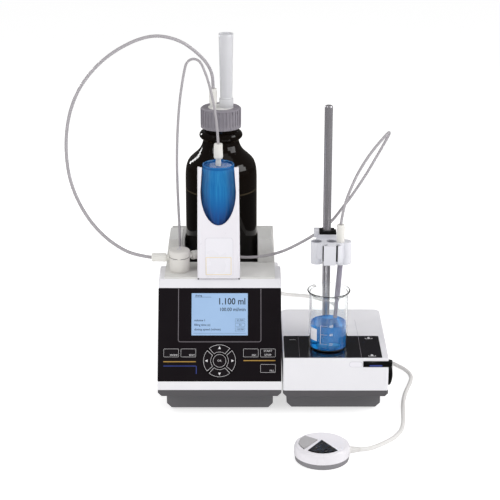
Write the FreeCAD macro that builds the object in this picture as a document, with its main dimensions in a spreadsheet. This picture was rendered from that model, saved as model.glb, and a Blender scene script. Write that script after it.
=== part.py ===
import FreeCAD, Part
import math
import os
import Sketcher

# Piston burette: a base unit with a keypad, a dosing unit with its glass
# cylinder, three-way valve and supply bottle, a magnetic stirrer with its
# stand rod and titration tip, and a hand controller on a cable.
# All lengths are millimetres. X runs to the right, Y to the back, Z up.

DIMENSIONS = {
    # origin of the part, measured from the middle of the housing's front edge
    "origin_x": 64.5, "origin_y": 71.95,
    # base unit
    "unit_half": 76.5, "unit_depth": 296, "wall": 3,
    "foot_half": 66.3, "foot_corner": 6, "foot_low": 2, "foot_front": 16, "foot_back": 280,
    "band_low": 24.8, "band_high": 33.3, "band_cut": 4.6,
    "lip_high": 44.7, "panel_tilt": 30, "panel_length": 117, "panel_thick": 3,
    "top_front": 64.3, "top_high": 156, "step_back": 112, "deck_high": 95,
    # keypad
    "key_travel": 0.5, "key_recess": 1.5, "key_gap": 0.3, "key_proud": 0.8,
    "key_wide": 19.2, "key_tall": 10.8, "stem_radius": 2, "stem_gap": 0.3,
    "row_high": 35.4, "row_low": 16.1,
    "column_outer": 59.9, "column_left": 38.6, "column_right": 38.7,
    "ring_high": 25.6, "ring_radius": 20.4, "ring_inner": 10.4, "ok_radius": 8.4,
    "sector_angle": 84,
    "display_half": 35.2, "display_low": 57.2, "display_high": 110.6,
    # piston drive
    "axis_x": -1.3, "axis_y": 87.5, "spindle_y": 101, "guide_x": 26, "guide_y": 96,
    "guide_radius": 3, "spindle_radius": 4, "fit_gap": 0.08,
    "frame_low": 29.9, "frame_plate": 3, "frame_high": 150, "motor_side": 42, "motor_high": 20,
    "carriage_low": 64, "carriage_high": 76, "rod_radius": 4,
    # dosing unit
    "carrier_half": 69, "carrier_high": 158.5, "arm_front": 118, "arm_high": 189.5,
    "arm_back": 166, "arm_top_half": 65, "well_radius": 48.4, "well_low": 101.7,
    "tower_front": 62, "tower_back": 92, "tower_high": 301.3, "tower_foot_half": 26.7,
    "tower_top_half": 25.2, "tower_wall": 2.5,
    "window_half": 21.8, "window_low": 226.5, "window_mid": 270, "window_draw": 2.2,
    "sleeve_low": 192, "sleeve_mid": 272, "sleeve_high": 298, "sleeve_radius": 22,
    "sleeve_rim": 19.6, "sleeve_wall": 1.4,
    "glass_low": 168, "glass_high": 290, "glass_radius": 16.5, "bore_radius": 14,
    "piston_low": 180, "piston_high": 198,
    "valve_x": -51.0, "valve_y": 89, "port_high": 175.8, "port_turn": 28,
    "plug_radius": 7.2, "plug_bore": 7.3,
    "fitting_radius": 5.7, "fitting_long": 18.5, "nut_radius": 3.2, "nut_long": 3.8,
    # bottle
    "bottle_x": -0.7, "bottle_y": 240, "bottle_radius": 47.5, "bottle_low": 102,
    "glass_wall": 3, "neck_radius": 22.6, "neck_high": 329,
    "cap_low": 305.4, "cap_high": 332, "cap_radius": 26.6, "cap_bore": 23,
    "insert_radius": 16.8, "dryer_x": 7.3, "dryer_low": 332, "dryer_high": 429.6,
    "inlet_x": -9.8, "inlet_y": -5,
    # stirrer
    "stir_left": 78.5, "stir_right": 208.5, "stir_back": 167, "stir_low": 32.6,
    "stir_high": 75.6, "pan_low": 24.6, "plate_high": 75.9, "plate_left": 80.2,
    "plate_right": 200.3, "plate_front": 2.2, "plate_back": 72.4, "plate_low": 73.6,
    "rod_x": 133.5, "rod_y": 80, "stand_radius": 5, "stand_low": 58, "stand_high": 375,
    "knob_y": 17.5, "knob_z": 48.5, "knob_radius": 14.5, "knob_long": 6.5,
    "beaker_x": 135, "beaker_y": 37, "beaker_radius": 24, "beaker_tall": 75, "beaker_wall": 1.6,
    # clamp and tip
    "clamp_low": 178, "clamp_high": 206.5, "flange_high": 211.55, "button_low": 211.6,
    "button_high": 215.8, "lever_high": 217,
    "tip_x": 149.6, "tip_y": 59.5, "tip_radius": 5, "barrel_high": 229, "lean_radius": 3.3,
    "lean_high": 175.5,
    "outlet_radius": 2.4,
    # hand controller
    "hand_x": 122, "hand_y": -121, "hand_radius": 32.6, "hand_base": 7, "hand_high": 19.6,
    "hand_travel": 0.8,
    # tubes and cable
    "suction_radius": 2.1, "cylinder_tube_radius": 1.6, "dosing_radius": 1.75, "cable_radius": 2.7,
}

doc = FreeCAD.newDocument("PistonBurette")
sheet = doc.addObject("Spreadsheet::Sheet", "Dims")
for row, (alias, number) in enumerate(DIMENSIONS.items(), start=1):
    sheet.set("A%d" % row, alias)
    sheet.set("B%d" % row, str(number))
    sheet.setAlias("B%d" % row, alias)
doc.recompute()


class Dim:
    """A number that carries the spreadsheet formula it comes from."""

    def __init__(self, value, text):
        self.value = value
        self.text = text

    def __add__(self, other):
        other = as_dim(other)
        return Dim(self.value + other.value, "(%s + %s)" % (self.text, other.text))

    def __sub__(self, other):
        other = as_dim(other)
        return Dim(self.value - other.value, "(%s - %s)" % (self.text, other.text))

    def __mul__(self, other):
        other = as_dim(other)
        return Dim(self.value * other.value, "(%s * %s)" % (self.text, other.text))

    def __truediv__(self, other):
        other = as_dim(other)
        return Dim(self.value / other.value, "(%s / %s)" % (self.text, other.text))

    def __radd__(self, other):
        return as_dim(other) + self

    def __rsub__(self, other):
        return as_dim(other) - self

    def __rmul__(self, other):
        return as_dim(other) * self

    def __neg__(self):
        return as_dim(0) - self


def as_dim(number):
    if isinstance(number, Dim):
        return number
    return Dim(float(number), "%.4f" % number)


def cosine(angle):
    return Dim(math.cos(math.radians(angle.value)), "cos(%s)" % angle.text)


def sine(angle):
    return Dim(math.sin(math.radians(angle.value)), "sin(%s)" % angle.text)


class Sheet:
    """Reads a spreadsheet cell by its alias."""

    def __getattr__(self, alias):
        return Dim(float(DIMENSIONS[alias]), "Dims." + alias)


D = Sheet()
NODES = []

# ---------------------------------------------------------------- helpers


def bind(obj, prop, number):
    obj.setExpression(prop, as_dim(number).text)


def settle(obj, x=0, y=0, z=0, axis=(0, 0, 1), angle=0):
    """Puts an object at a point of the part, turned about an axis."""
    turn = FreeCAD.Rotation(FreeCAD.Vector(*axis), as_dim(angle).value)
    obj.Placement = FreeCAD.Placement(FreeCAD.Vector(), turn)
    bind(obj, "Placement.Base.x", as_dim(x) - D.origin_x)
    bind(obj, "Placement.Base.y", as_dim(y) - D.origin_y)
    bind(obj, "Placement.Base.z", z)
    return obj


def node(obj):
    NODES.append(obj)
    return obj


def rect(left, right, low, high):
    return [(left, low), (right, low), (right, high), (left, high)]


def circle(x, y, radius):
    return ("circle", x, y, radius)


PLANES = {"X": "YZ_Plane", "Y": "XZ_Plane", "Z": "XY_Plane"}


def add_loop(sk, loop):
    """Draws one closed loop and ties every corner to the sheet."""
    first = sk.GeometryCount
    if loop[0] == "circle":
        x, y, radius = [as_dim(v) for v in loop[1:]]
        centre = FreeCAD.Vector(x.value, y.value, 0)
        sk.addGeometry(Part.Circle(centre, FreeCAD.Vector(0, 0, 1), radius.value), False)
        limits = [("DistanceX", 3, x), ("DistanceY", 3, y)]
        for kind, point, number in limits:
            index = sk.addConstraint(Sketcher.Constraint(kind, -1, 1, first, point, number.value))
            sk.setExpression("Constraints[%d]" % index, number.text)
        index = sk.addConstraint(Sketcher.Constraint("Radius", first, radius.value))
        sk.setExpression("Constraints[%d]" % index, radius.text)
        return
    corners = [(as_dim(x), as_dim(y)) for x, y in loop]
    count = len(corners)
    for i in range(count):
        ends = [corners[i], corners[(i + 1) % count]]
        start, end = [FreeCAD.Vector(x.value, y.value, 0) for x, y in ends]
        sk.addGeometry(Part.LineSegment(start, end), False)
    for i in range(count):
        following = first + (i + 1) % count
        sk.addConstraint(Sketcher.Constraint("Coincident", first + i, 2, following, 1))
    for i, (x, y) in enumerate(corners):
        for kind, number in (("DistanceX", x), ("DistanceY", y)):
            limit = Sketcher.Constraint(kind, -1, 1, first + i, 1, number.value)
            index = sk.addConstraint(limit)
            sk.setExpression("Constraints[%d]" % index, number.text)


def sketch(body, axis, loops, at=0):
    """A sketch across an axis of the body, at a distance along it."""
    sk = body.newObject("Sketcher::SketchObject", body.Label + "_sketch")
    plane = [f for f in body.Origin.OriginFeatures if f.Role == PLANES[axis]][0]
    sk.AttachmentSupport = [(plane, "")]
    sk.MapMode = "FlatFace"
    # the XZ plane faces the front, so distances along Y change sign
    side = -1 if axis == "Y" else 1
    bind(sk, "AttachmentOffset.Base.z", as_dim(at) * side)
    for loop in loops:
        add_loop(sk, loop)
    return sk


def new_body(label, alone=True):
    """A body of its own node, or one of the solids that share a node."""
    body = doc.addObject("PartDesign::Body", label)
    body.Label = label
    return node(body) if alone else body


def feature(body, kind, profile):
    item = body.newObject("PartDesign::" + kind, body.Label + "_" + kind.lower())
    item.Profile = profile
    return item


def pad(body, axis, loops, low, high):
    """Adds the loops, drawn out along an axis from low to high."""
    item = feature(body, "Pad", sketch(body, axis, loops, high if axis == "Y" else low))
    bind(item, "Length", as_dim(high) - low)
    doc.recompute()
    return item


def pocket(body, axis, loops, low, high):
    """Cuts the loops along an axis from low to high."""
    before = body.Shape.Volume
    item = feature(body, "Pocket", sketch(body, axis, loops, low if axis == "Y" else high))
    bind(item, "Length", as_dim(high) - low)
    doc.recompute()
    if body.Shape.Volume > before - 1e-3:
        raise RuntimeError("pocket cuts nothing in " + body.Label)
    return item


def turn(body, profile, kind="Revolution"):
    """Turns a (radius, height) profile about the body's own Z axis."""
    sk = sketch(body, "Y", [profile])
    item = feature(body, kind, sk)
    item.ReferenceAxis = (sk, ["V_Axis"])
    item.Angle = 360
    doc.recompute()
    return item


def dress(body, kind, prop, size, test):
    """Fillets or chamfers the edges whose bounding box passes the test."""
    base = body.Tip
    names = []
    for i, edge in enumerate(base.Shape.Edges, start=1):
        if test(edge.BoundBox):
            names.append("Edge%d" % i)
    item = body.newObject("PartDesign::" + kind, body.Label + "_" + kind.lower())
    item.Base = (base, names)
    bind(item, prop, size)
    doc.recompute()
    if not names or "Invalid" in item.State or "Error" in item.State:
        raise RuntimeError("%s fails on %s" % (kind, body.Label))
    return item


def fillet(body, radius, test):
    return dress(body, "Fillet", "Radius", radius, test)


def chamfer(body, size, test):
    return dress(body, "Chamfer", "Size", size, test)


def upright(box):
    return box.ZLength > 1 and box.XLength < 0.02 and box.YLength < 0.02


def level_at(height, tolerance=0.02):
    return lambda box: abs(box.ZMin - height) < tolerance and abs(box.ZMax - height) < tolerance


def cylinder(label, radius, height, x, y, z, axis=(0, 0, 1), angle=0):
    item = doc.addObject("Part::Cylinder", label)
    item.Label = label
    bind(item, "Radius", radius)
    bind(item, "Height", height)
    return settle(item, x, y, z, axis, angle)


def box(label, x, y, z, long, deep, tall):
    item = doc.addObject("Part::Box", label)
    item.Label = label
    for prop, number in (("Length", long), ("Width", deep), ("Height", tall)):
        bind(item, prop, number)
    return settle(item, x, y, z)


def boolean(kind, label, objects):
    item = doc.addObject("Part::" + kind, label)
    item.Label = label
    if kind == "Cut":
        item.Base, item.Tool = objects
    elif kind == "Compound":
        item.Links = objects
    else:
        item.Shapes = objects
    return item


def spread(body, x=0, y=0, z=0):
    """Places a body modelled in the part's own coordinates."""
    return settle(body, x, y, z)


# -------------------------------------------------------------- base unit


def tray(label, left, right, front, back, low, high, cut):
    """An open tray with sloped lower edges on its two long sides."""
    body = new_body(label)
    outline = [(left + cut, low), (right - cut, low), (right, low + cut),
               (right, high), (left, high), (left, low + cut)]
    pad(body, "Y", [outline], front, back)
    inside = rect(left + D.wall, right - D.wall, front + D.wall, back - D.wall)
    pocket(body, "Z", [inside], low + cut + 0.5, high)
    return spread(body)


tray("base_foot", -D.foot_half, D.foot_half, D.foot_front, D.foot_back,
     D.foot_low, D.band_low, D.foot_corner)
tray("base_pan", -D.unit_half, D.unit_half, as_dim(0), D.unit_depth,
     D.band_low, D.band_high, D.band_cut)

panel_rise = D.panel_length * cosine(D.panel_tilt)
panel_run = D.panel_length * sine(D.panel_tilt)
skin_run = D.panel_thick * cosine(D.panel_tilt)
skin_drop = D.panel_thick * sine(D.panel_tilt)
cavity_run = (D.panel_thick + D.wall) * cosine(D.panel_tilt)
cavity_drop = (D.panel_thick + D.wall) * sine(D.panel_tilt)
panel_high = D.lip_high + panel_rise

housing = new_body("housing_shell")
outer = [(0, D.band_high), (0, D.lip_high), (skin_run, D.lip_high - skin_drop),
         (panel_run + skin_run, panel_high - skin_drop), (panel_run, panel_high),
         (D.top_front, D.top_high), (D.step_back, D.top_high), (D.step_back, D.deck_high),
         (D.unit_depth, D.deck_high), (D.unit_depth, D.band_high)]
cavity = [(D.wall, D.band_high), (D.wall, D.lip_high - 6), (cavity_run, D.lip_high - cavity_drop),
          (panel_run + cavity_run, panel_high - cavity_drop), (D.top_front + 3, D.top_high - D.wall),
          (D.step_back - D.wall, D.top_high - D.wall), (D.step_back - D.wall, D.deck_high - D.wall),
          (D.unit_depth - D.wall, D.deck_high - D.wall), (D.unit_depth - D.wall, D.band_high)]
pad(housing, "X", [outer], -D.unit_half, D.unit_half)
fillet(housing, 2, lambda b: b.XLength < 0.02 and abs(abs(b.XMin) - 76.5) < 0.02
       and b.ZMax > 44.8 and b.DiagonalLength > 5.5)
pocket(housing, "X", [cavity], -D.unit_half + D.wall, D.unit_half - D.wall)
pocket(housing, "Y", [rect(-66, 66, D.lip_high + 3, panel_high - 6)], -1, D.top_front)
pocket(housing, "Z", [circle(D.axis_x, D.axis_y, 7), circle(D.valve_x, D.valve_y, 7)],
       D.top_high - D.wall - 1, D.top_high + 1)
pocket(housing, "Y", [circle(-52, 66, 5.6), rect(-34, -2, 58, 72), circle(22, 65, 7),
                      circle(50, 65, 7)], D.unit_depth - D.wall - 1, D.unit_depth + 1)
spread(housing)

# sockets in the back wall: supply inlet, data port, stirrer and hand controller
sockets = []
for name, x, z, radius, hole in (("inlet", -52, 66, 5.6, 2.8), ("stirrer_port", 22, 65, 7, 4.6),
                                 ("hand_port", 50, 65, 7, 4.6)):
    shell = cylinder(name + "_shell", radius, 12, x, D.unit_depth + 1.5, z, (1, 0, 0), 90)
    hollow = cylinder(name + "_hole", hole, 9, x, D.unit_depth + 2, z, (1, 0, 0), 90)
    sockets.append(boolean("Cut", name, (shell, hollow)))
port_shell = box("data_shell", -34, D.unit_depth - 10.5, 58, 32, 12, 14)
port_hole = box("data_hole", -30.5, D.unit_depth - 6, 61.5, 25, 8, 7)
sockets.append(boolean("Cut", "data_port", (port_shell, port_hole)))
node(boolean("Compound", "rear_sockets", sockets))

feet = []
for name, left, right, front, back in (("unit", -50, 50, 34, 262), ("stirrer", 101, 186, 32, 138)):
    for i, (x, y) in enumerate(((left, front), (right, front), (left, back), (right, back))):
        feet.append(cylinder("%s_foot_%d" % (name, i), 8, D.foot_low, x, y, 0))
node(boolean("Compound", "rubber_feet", feet))

screws = []
for i, (x, y) in enumerate(((-40, 24), (40, 24), (-40, 272), (40, 272), (104, 50), (183, 50),
                            (104, 120), (183, 120))):
    head = cylinder("screw_head_%d" % i, 3, 1.2, x, y, 0.8)
    shank = cylinder("screw_shank_%d" % i, 1.5, 8, x, y, D.foot_low)
    screws.append(boolean("MultiFuse", "screw_%d" % i, [head, shank]))

# ----------------------------------------------------------------- keypad
# The keypad parts are drawn lying flat: X across, Y up the slope, Z outwards.


def on_panel(obj, across=0, up=0, out=0):
    """Places an object drawn flat onto the sloped front of the housing."""
    up, out = as_dim(up), as_dim(out)
    y = up * sine(D.panel_tilt) - out * cosine(D.panel_tilt)
    z = D.lip_high + up * cosine(D.panel_tilt) + out * sine(D.panel_tilt)
    return settle(obj, across, y, z, (1, 0, 0), 90 - D.panel_tilt)


key_places = {
    "key_mode": (-D.column_outer, D.row_high),
    "key_edit": (-D.column_left, D.row_high),
    "key_escape": (D.column_right, D.row_high),
    "key_start": (D.column_outer, D.row_high),
    "key_fill": (D.column_outer, D.row_low),
}

panel = new_body("keypad_panel")
pad(panel, "Z", [rect(-D.unit_half, D.unit_half, 0, D.panel_length)], -D.panel_thick, 0)
fillet(panel, 1.5, upright)
pocket(panel, "Z", [rect(-D.display_half, D.display_half, D.display_low, D.display_high)],
       -D.panel_thick, 0)
half_wide = D.key_wide / 2 + D.key_gap
half_tall = D.key_tall / 2 + D.key_gap
recesses = [circle(0, D.ring_high, D.ring_radius + D.key_gap)]
stems = [circle(0, D.ring_high, D.stem_radius + D.stem_gap)]
for across, up in key_places.values():
    recesses.append(rect(across - half_wide, across + half_wide, up - half_tall, up + half_tall))
    stems.append(circle(across, up, D.stem_radius + D.stem_gap))
stem_ring = (D.ring_radius + D.ring_inner) / 2
for across, up in ((0, 1), (1, 0), (0, -1), (-1, 0)):
    stems.append(circle(stem_ring * across, D.ring_high + stem_ring * up,
                        D.stem_radius + D.stem_gap))
pocket(panel, "Z", recesses, -D.key_recess, 0)
pocket(panel, "Z", stems, -D.panel_thick, 0)
on_panel(panel)

display = new_body("display_module")
pad(display, "Z", [rect(-D.display_half + 0.2, D.display_half - 0.2, D.display_low + 0.2,
                        D.display_high - 0.2)], -6, -0.3)
on_panel(display)

board = new_body("keypad_board")
pad(board, "Z", [rect(-62, 62, 6, 112)], -7.6, -6)
for across, up in list(key_places.values()) + [(as_dim(0), D.ring_high)]:
    pad(board, "Z", [circle(across, up, 2.2)], -6, -5.2)
for across, up in ((0, 1), (1, 0), (0, -1), (-1, 0)):
    pad(board, "Z", [circle(stem_ring * across, D.ring_high + stem_ring * up, 2.2)], -6, -5.2)
on_panel(board)

cap_low = D.key_travel + 0.2 - D.key_recess
for label, (across, up) in key_places.items():
    key = new_body(label)
    pad(key, "Z", [rect(-D.key_wide / 2, D.key_wide / 2, -D.key_tall / 2, D.key_tall / 2)],
        cap_low, D.key_proud)
    fillet(key, 1.2, upright)
    fillet(key, 0.3, level_at(0.8))
    pad(key, "Z", [circle(0, 0, D.stem_radius)], -4.6, cap_low)
    on_panel(key, across, up)

key = new_body("key_ok")
pad(key, "Z", [circle(0, 0, D.ok_radius)], cap_low, D.key_proud)
fillet(key, 0.3, level_at(0.8))
pad(key, "Z", [circle(0, 0, D.stem_radius)], -4.6, cap_low)
on_panel(key, 0, D.ring_high)

# four ring sectors, each with its stem
for label, middle in (("key_right", 0), ("key_up", 90), ("key_left", 180), ("key_down", 270)):
    wedge = doc.addObject("Part::Cylinder", label + "_wedge")
    bind(wedge, "Radius", D.ring_radius)
    bind(wedge, "Height", D.key_proud - cap_low)
    bind(wedge, "Angle", D.sector_angle)
    bind(wedge, "Placement.Base.z", cap_low)
    start = middle - as_dim(D.sector_angle).value / 2
    wedge.Placement.Rotation = FreeCAD.Rotation(FreeCAD.Vector(0, 0, 1), start)
    core = doc.addObject("Part::Cylinder", label + "_core")
    bind(core, "Radius", D.ring_inner)
    bind(core, "Height", 4)
    bind(core, "Placement.Base.z", -2)
    stem = doc.addObject("Part::Cylinder", label + "_stem")
    bind(stem, "Radius", D.stem_radius)
    bind(stem, "Height", 4.6 + cap_low + 0.2)
    bind(stem, "Placement.Base.x", stem_ring * round(math.cos(math.radians(middle))))
    bind(stem, "Placement.Base.y", stem_ring * round(math.sin(math.radians(middle))))
    bind(stem, "Placement.Base.z", -4.6)
    ring = boolean("Cut", label + "_ring", (wedge, core))
    node(on_panel(boolean("MultiFuse", label, [ring, stem]), 0, D.ring_high))

# ------------------------------------------------------------ piston drive

frame = new_body("drive_frame")
pad(frame, "Z", [rect(-36, 33, 76, 124)], D.frame_low, D.frame_low + D.frame_plate)
for side in (-1, 1):
    post = D.axis_x + D.guide_x * side
    pad(frame, "Z", [circle(post, D.guide_y, D.guide_radius)], D.frame_low, D.frame_high)
pad(frame, "Z", [rect(-36, 33, 76, 108)], D.frame_high - D.frame_plate, D.frame_high)
pocket(frame, "Z", [circle(D.axis_x, D.axis_y, 6),
                    circle(D.axis_x, D.spindle_y, D.spindle_radius + D.fit_gap)],
       D.frame_high - D.frame_plate - 1, D.frame_high + 1)
spread(frame)

motor = new_body("drive_motor", False)
half_motor = D.motor_side / 2
motor_low = D.frame_low + D.frame_plate
pad(motor, "Z", [rect(-half_motor, half_motor, -half_motor, half_motor)], 0, D.motor_high)
chamfer(motor, 3, upright)
pad(motor, "Z", [circle(0, 0, 11)], D.motor_high, D.motor_high + 2)
pocket(motor, "Z", [circle(0, 0, 3)], D.motor_high - 12, D.motor_high + 2)
spread(motor, D.axis_x, D.spindle_y, motor_low)

spindle = new_body("spindle")
turn(spindle, [(0, 43), (D.guide_radius - 0.1, 43), (D.guide_radius - 0.1, 62.5),
               (D.spindle_radius, 62.5), (D.spindle_radius, 148.5), (0, 148.5)])
spread(spindle, D.axis_x, D.spindle_y, 0)

carriage = new_body("carriage")
pad(carriage, "Z", [rect(D.axis_x - 32, D.axis_x + 32, 78, 107.5)], D.carriage_low,
    D.carriage_high)
holes = [circle(D.axis_x + D.guide_x * side, D.guide_y, D.guide_radius + D.fit_gap)
         for side in (-1, 1)]
holes.append(circle(D.axis_x, D.spindle_y, D.spindle_radius + D.fit_gap))
pocket(carriage, "Z", holes, D.carriage_low - 1, D.carriage_high + 1)
spread(carriage)

piston = new_body("piston")
seal = D.bore_radius - D.fit_gap
turn(piston, [(0, D.carriage_high), (D.rod_radius, D.carriage_high), (D.rod_radius, D.piston_low),
              (seal - 1, D.piston_low), (seal, D.piston_low + 1), (seal, 184), (seal - 1.2, 184.6),
              (seal - 1.2, 187.4), (seal, 188), (seal, 191), (seal - 1.2, 191.6),
              (seal - 1.2, 194.4), (seal, 195), (seal, D.piston_high - 1),
              (seal - 1.5, D.piston_high), (0, D.piston_high + 1)])
spread(piston, D.axis_x, D.axis_y, 0)

# ------------------------------------------------------------- dosing unit

carrier = new_body("bottle_cradle")
pad(carrier, "Z", [rect(-D.carrier_half, D.carrier_half, D.top_front, D.step_back + 1)],
    D.top_high, D.carrier_high)
profile = [(D.step_back, D.deck_high), (D.step_back, D.carrier_high),
           (D.arm_front, D.carrier_high), (D.arm_front + 1, D.arm_high),
           (D.arm_back, D.arm_high), (205, 160), (D.unit_depth - 4, 150),
           (D.unit_depth - 4, D.deck_high)]
pad(carrier, "X", [profile], -D.carrier_half, D.carrier_half)
for side in (-1, 1):
    taper = [(D.carrier_half * side, D.carrier_high + 4), (D.arm_top_half * side, D.arm_high + 2),
             ((D.carrier_half + 2) * side, D.arm_high + 2)]
    pocket(carrier, "Y", [taper], D.step_back - 1, D.unit_depth)
pocket(carrier, "Z", [rect(D.bottle_x - D.well_radius, D.bottle_x + D.well_radius,
                           D.step_back - 1, D.arm_front + 3)], D.carrier_high, D.arm_high + 1)
pocket(carrier, "Z", [rect(D.bottle_x - D.well_radius, D.bottle_x + D.well_radius,
                           D.arm_front + 2, D.bottle_y)], D.well_low, D.arm_high + 1)
pocket(carrier, "Z", [circle(D.bottle_x, D.bottle_y, D.well_radius)], D.well_low, D.arm_high + 1)
tower_left = D.axis_x - D.tower_foot_half
tower_right = D.axis_x + D.tower_foot_half
pocket(carrier, "Z", [rect(tower_left, tower_right, D.top_front - 1, D.tower_back)],
       D.top_high - 1, D.carrier_high + 1)
pocket(carrier, "Z", [circle(D.valve_x, D.valve_y, 7.6)], D.top_high - 1, D.carrier_high + 1)
pocket(carrier, "Z", [circle(D.axis_x, D.axis_y, 19)], D.top_high - 1, D.carrier_high + 1)
spread(carrier)

base_ring = new_body("cylinder_base")
turn(base_ring, [(D.rod_radius + D.fit_gap, D.top_high), (19, D.top_high), (19, 160), (18, 161),
                 (18, D.glass_low + 6), (D.glass_radius, D.glass_low + 6),
                 (D.glass_radius, D.glass_low), (D.rod_radius + D.fit_gap, D.glass_low)])
spread(base_ring, D.axis_x, D.axis_y, 0)

tower = new_body("tower_cover")


def tower_outline(inset):
    """The tower seen from the front, narrower towards its top."""
    return [(D.axis_x - D.tower_foot_half + inset, D.top_high),
            (D.axis_x + D.tower_foot_half - inset, D.top_high),
            (D.axis_x + D.tower_top_half - inset, D.tower_high),
            (D.axis_x - D.tower_top_half + inset, D.tower_high)]


pad(tower, "Y", [tower_outline(as_dim(0))], D.tower_front, D.tower_back)
fillet(tower, 2.4, lambda b: b.ZLength > 140 and b.YLength < 0.02 and b.YMin < 63)
pocket(tower, "Y", [tower_outline(D.tower_wall)], D.tower_front + D.tower_wall, D.tower_back + 1)
# the window: straight sides above, half an ellipse below
steps = 16
window = [(D.axis_x + D.window_half - D.window_draw, D.tower_high + 1),
          (D.axis_x - D.window_half + D.window_draw, D.tower_high + 1)]
for i in range(steps + 1):
    angle = math.pi + math.pi * i / steps
    window.append((D.axis_x + D.window_half * math.cos(angle),
                   D.window_mid + (D.window_mid - D.window_low) * math.sin(angle)))
pocket(tower, "Y", [window], D.tower_front - 1, D.tower_front + D.tower_wall + 1)
# the side walls fall away towards the back
fall = [(D.tower_front + 5, D.tower_high + 1), (D.tower_back + 1, D.tower_high + 1),
        (D.tower_back + 1, D.tower_high - 14), (D.tower_front + 5, D.tower_high - 0.5)]
pocket(tower, "X", [fall], D.axis_x - 30, D.axis_x + 30)
spread(tower)

sleeve = new_body("uv_sleeve")
inner = D.sleeve_radius - D.sleeve_wall
turn(sleeve, [(inner, D.sleeve_low), (D.sleeve_radius, D.sleeve_low),
              (D.sleeve_radius, D.sleeve_mid), (D.sleeve_rim, D.sleeve_high),
              (18.4, D.sleeve_high), (18.4, 296.9), (4.2, 296.9), (4.2, 294.5), (18.4, 294.5),
              (inner, D.sleeve_mid)])
spread(sleeve, D.axis_x, D.axis_y, 0)

glass = new_body("glass_cylinder")
turn(glass, [(D.bore_radius, D.glass_low), (D.glass_radius, D.glass_low),
             (D.glass_radius, D.glass_high), (D.bore_radius, D.glass_high)])
spread(glass, D.axis_x, D.axis_y, 0)

head = new_body("cylinder_head")
turn(head, [(D.cylinder_tube_radius, D.glass_high - 8), (D.bore_radius, D.glass_high - 8),
            (D.bore_radius, D.glass_high), (18.2, D.glass_high), (18.2, 293.4), (17.2, 294.4),
            (4, 294.4), (3.4, 295.2), (3.4, 302), (D.cylinder_tube_radius, 302)])
spread(head, D.axis_x, D.axis_y, 0)

valve = new_body("valve_body")
turn(valve, [(D.plug_bore, 0), (12.6, 0), (12.9, 17.4), (12.2, 18), (12.2, 18.7), (12.6, 19.2),
             (13.4, 26), (12.4, 27.6), (0, 28.2), (0, 20.6), (D.plug_bore, 20.6)])
spread(valve, D.valve_x, D.valve_y, D.carrier_high)

plug = new_body("valve_plug")
turn(plug, [(0, -11.7), (5, -11.7), (5, -1), (D.plug_radius, 0.5), (D.plug_radius, 20.3),
            (0, 20.3)])
spread(plug, D.valve_x, D.valve_y, D.carrier_high)

gear = new_body("valve_motor", False)
pad(gear, "Z", [rect(-13, 13, -13, 13)], 108, 144)
chamfer(gear, 2, upright)
pad(gear, "Z", [circle(0, 0, 6)], 144, 146.5)
posts = [circle(x, y, 2) for x in (-10, 10) for y in (-10, 10)]
pad(gear, "Z", posts, 144, D.top_high - D.wall)
spread(gear, D.valve_x, D.valve_y, 0)


def fitting(label, x, y, z, axis, angle):
    """A union nut with its knurled barrel, along its own Z."""
    body = doc.addObject("PartDesign::Body", label)
    body.Label = label
    turn(body, [(0, 0), (D.nut_radius, 0), (D.nut_radius, D.nut_long), (5, D.nut_long),
                (D.fitting_radius, D.nut_long + 2),
                (5.1, D.nut_long + D.fitting_long), (0, D.nut_long + D.fitting_long)])
    return settle(body, x, y, z, axis, angle)


valve_face = 12.7
fittings = [
    fitting("fitting_left", D.valve_x - valve_face, D.valve_y, D.port_high, (0, 1, 0), -90),
    fitting("fitting_cylinder", D.axis_x, D.axis_y, 302, (0, 0, 1), 0),
]
turned = FreeCAD.Rotation(FreeCAD.Vector(0, 0, 1), D.port_turn.value)
lying = FreeCAD.Rotation(FreeCAD.Vector(0, 1, 0), 90)
right = fitting("fitting_right", D.valve_x + cosine(D.port_turn) * valve_face,
                D.valve_y + sine(D.port_turn) * valve_face, D.port_high, (0, 1, 0), 90)
right.Placement.Rotation = turned.multiply(lying)
fittings.append(right)
elbow = cylinder("rear_port", 3, 9, D.valve_x, D.valve_y + 11.5, D.port_high - 8, (1, 0, 0), -90)
rear_long = 16
rear = doc.addObject("Part::Cone", "rear_barrel")
bind(rear, "Radius1", 5)
bind(rear, "Radius2", 4.4)
bind(rear, "Height", rear_long)
settle(rear, D.valve_x, D.valve_y + 20.5, D.port_high - 12)
fittings.append(boolean("MultiFuse", "fitting_rear", [elbow, rear]))
node(boolean("Compound", "tube_fittings", fittings))

# ------------------------------------------------------------------ bottle

bottle = new_body("bottle")
outside = [(0, 0), (43, 0), (46.2, 1.2), (47.5, 4.5), (47.5, 135), (47.3, 141), (46.8, 147),
           (45.7, 152.4), (43.9, 157), (41.8, 160), (39.5, 162.4), (36.5, 165.2), (33.3, 168),
           (30.4, 170.8), (28, 173.8), (26.2, 177), (24.6, 181), (23.6, 185.5), (24.4, 187.2),
           (26.4, 188.6), (28, 190.3), (28.6, 192.3), (28.2, 194.6), (26.9, 196.6),
           (24.9, 198), (22.6, 198.8), (22.6, 227), (18.4, 227)]
inside = [(18.4, 187), (20.8, 181), (23.2, 174.6), (26.4, 170), (31.2, 165.4), (37, 160),
          (40.6, 156), (42.8, 151), (43.8, 146), (44.4, 140), (44.5, 134), (44.5, 6), (43, 4),
          (0, 3)]
turn(bottle, outside + inside)
spread(bottle, D.bottle_x, D.bottle_y, D.bottle_low)

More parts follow.
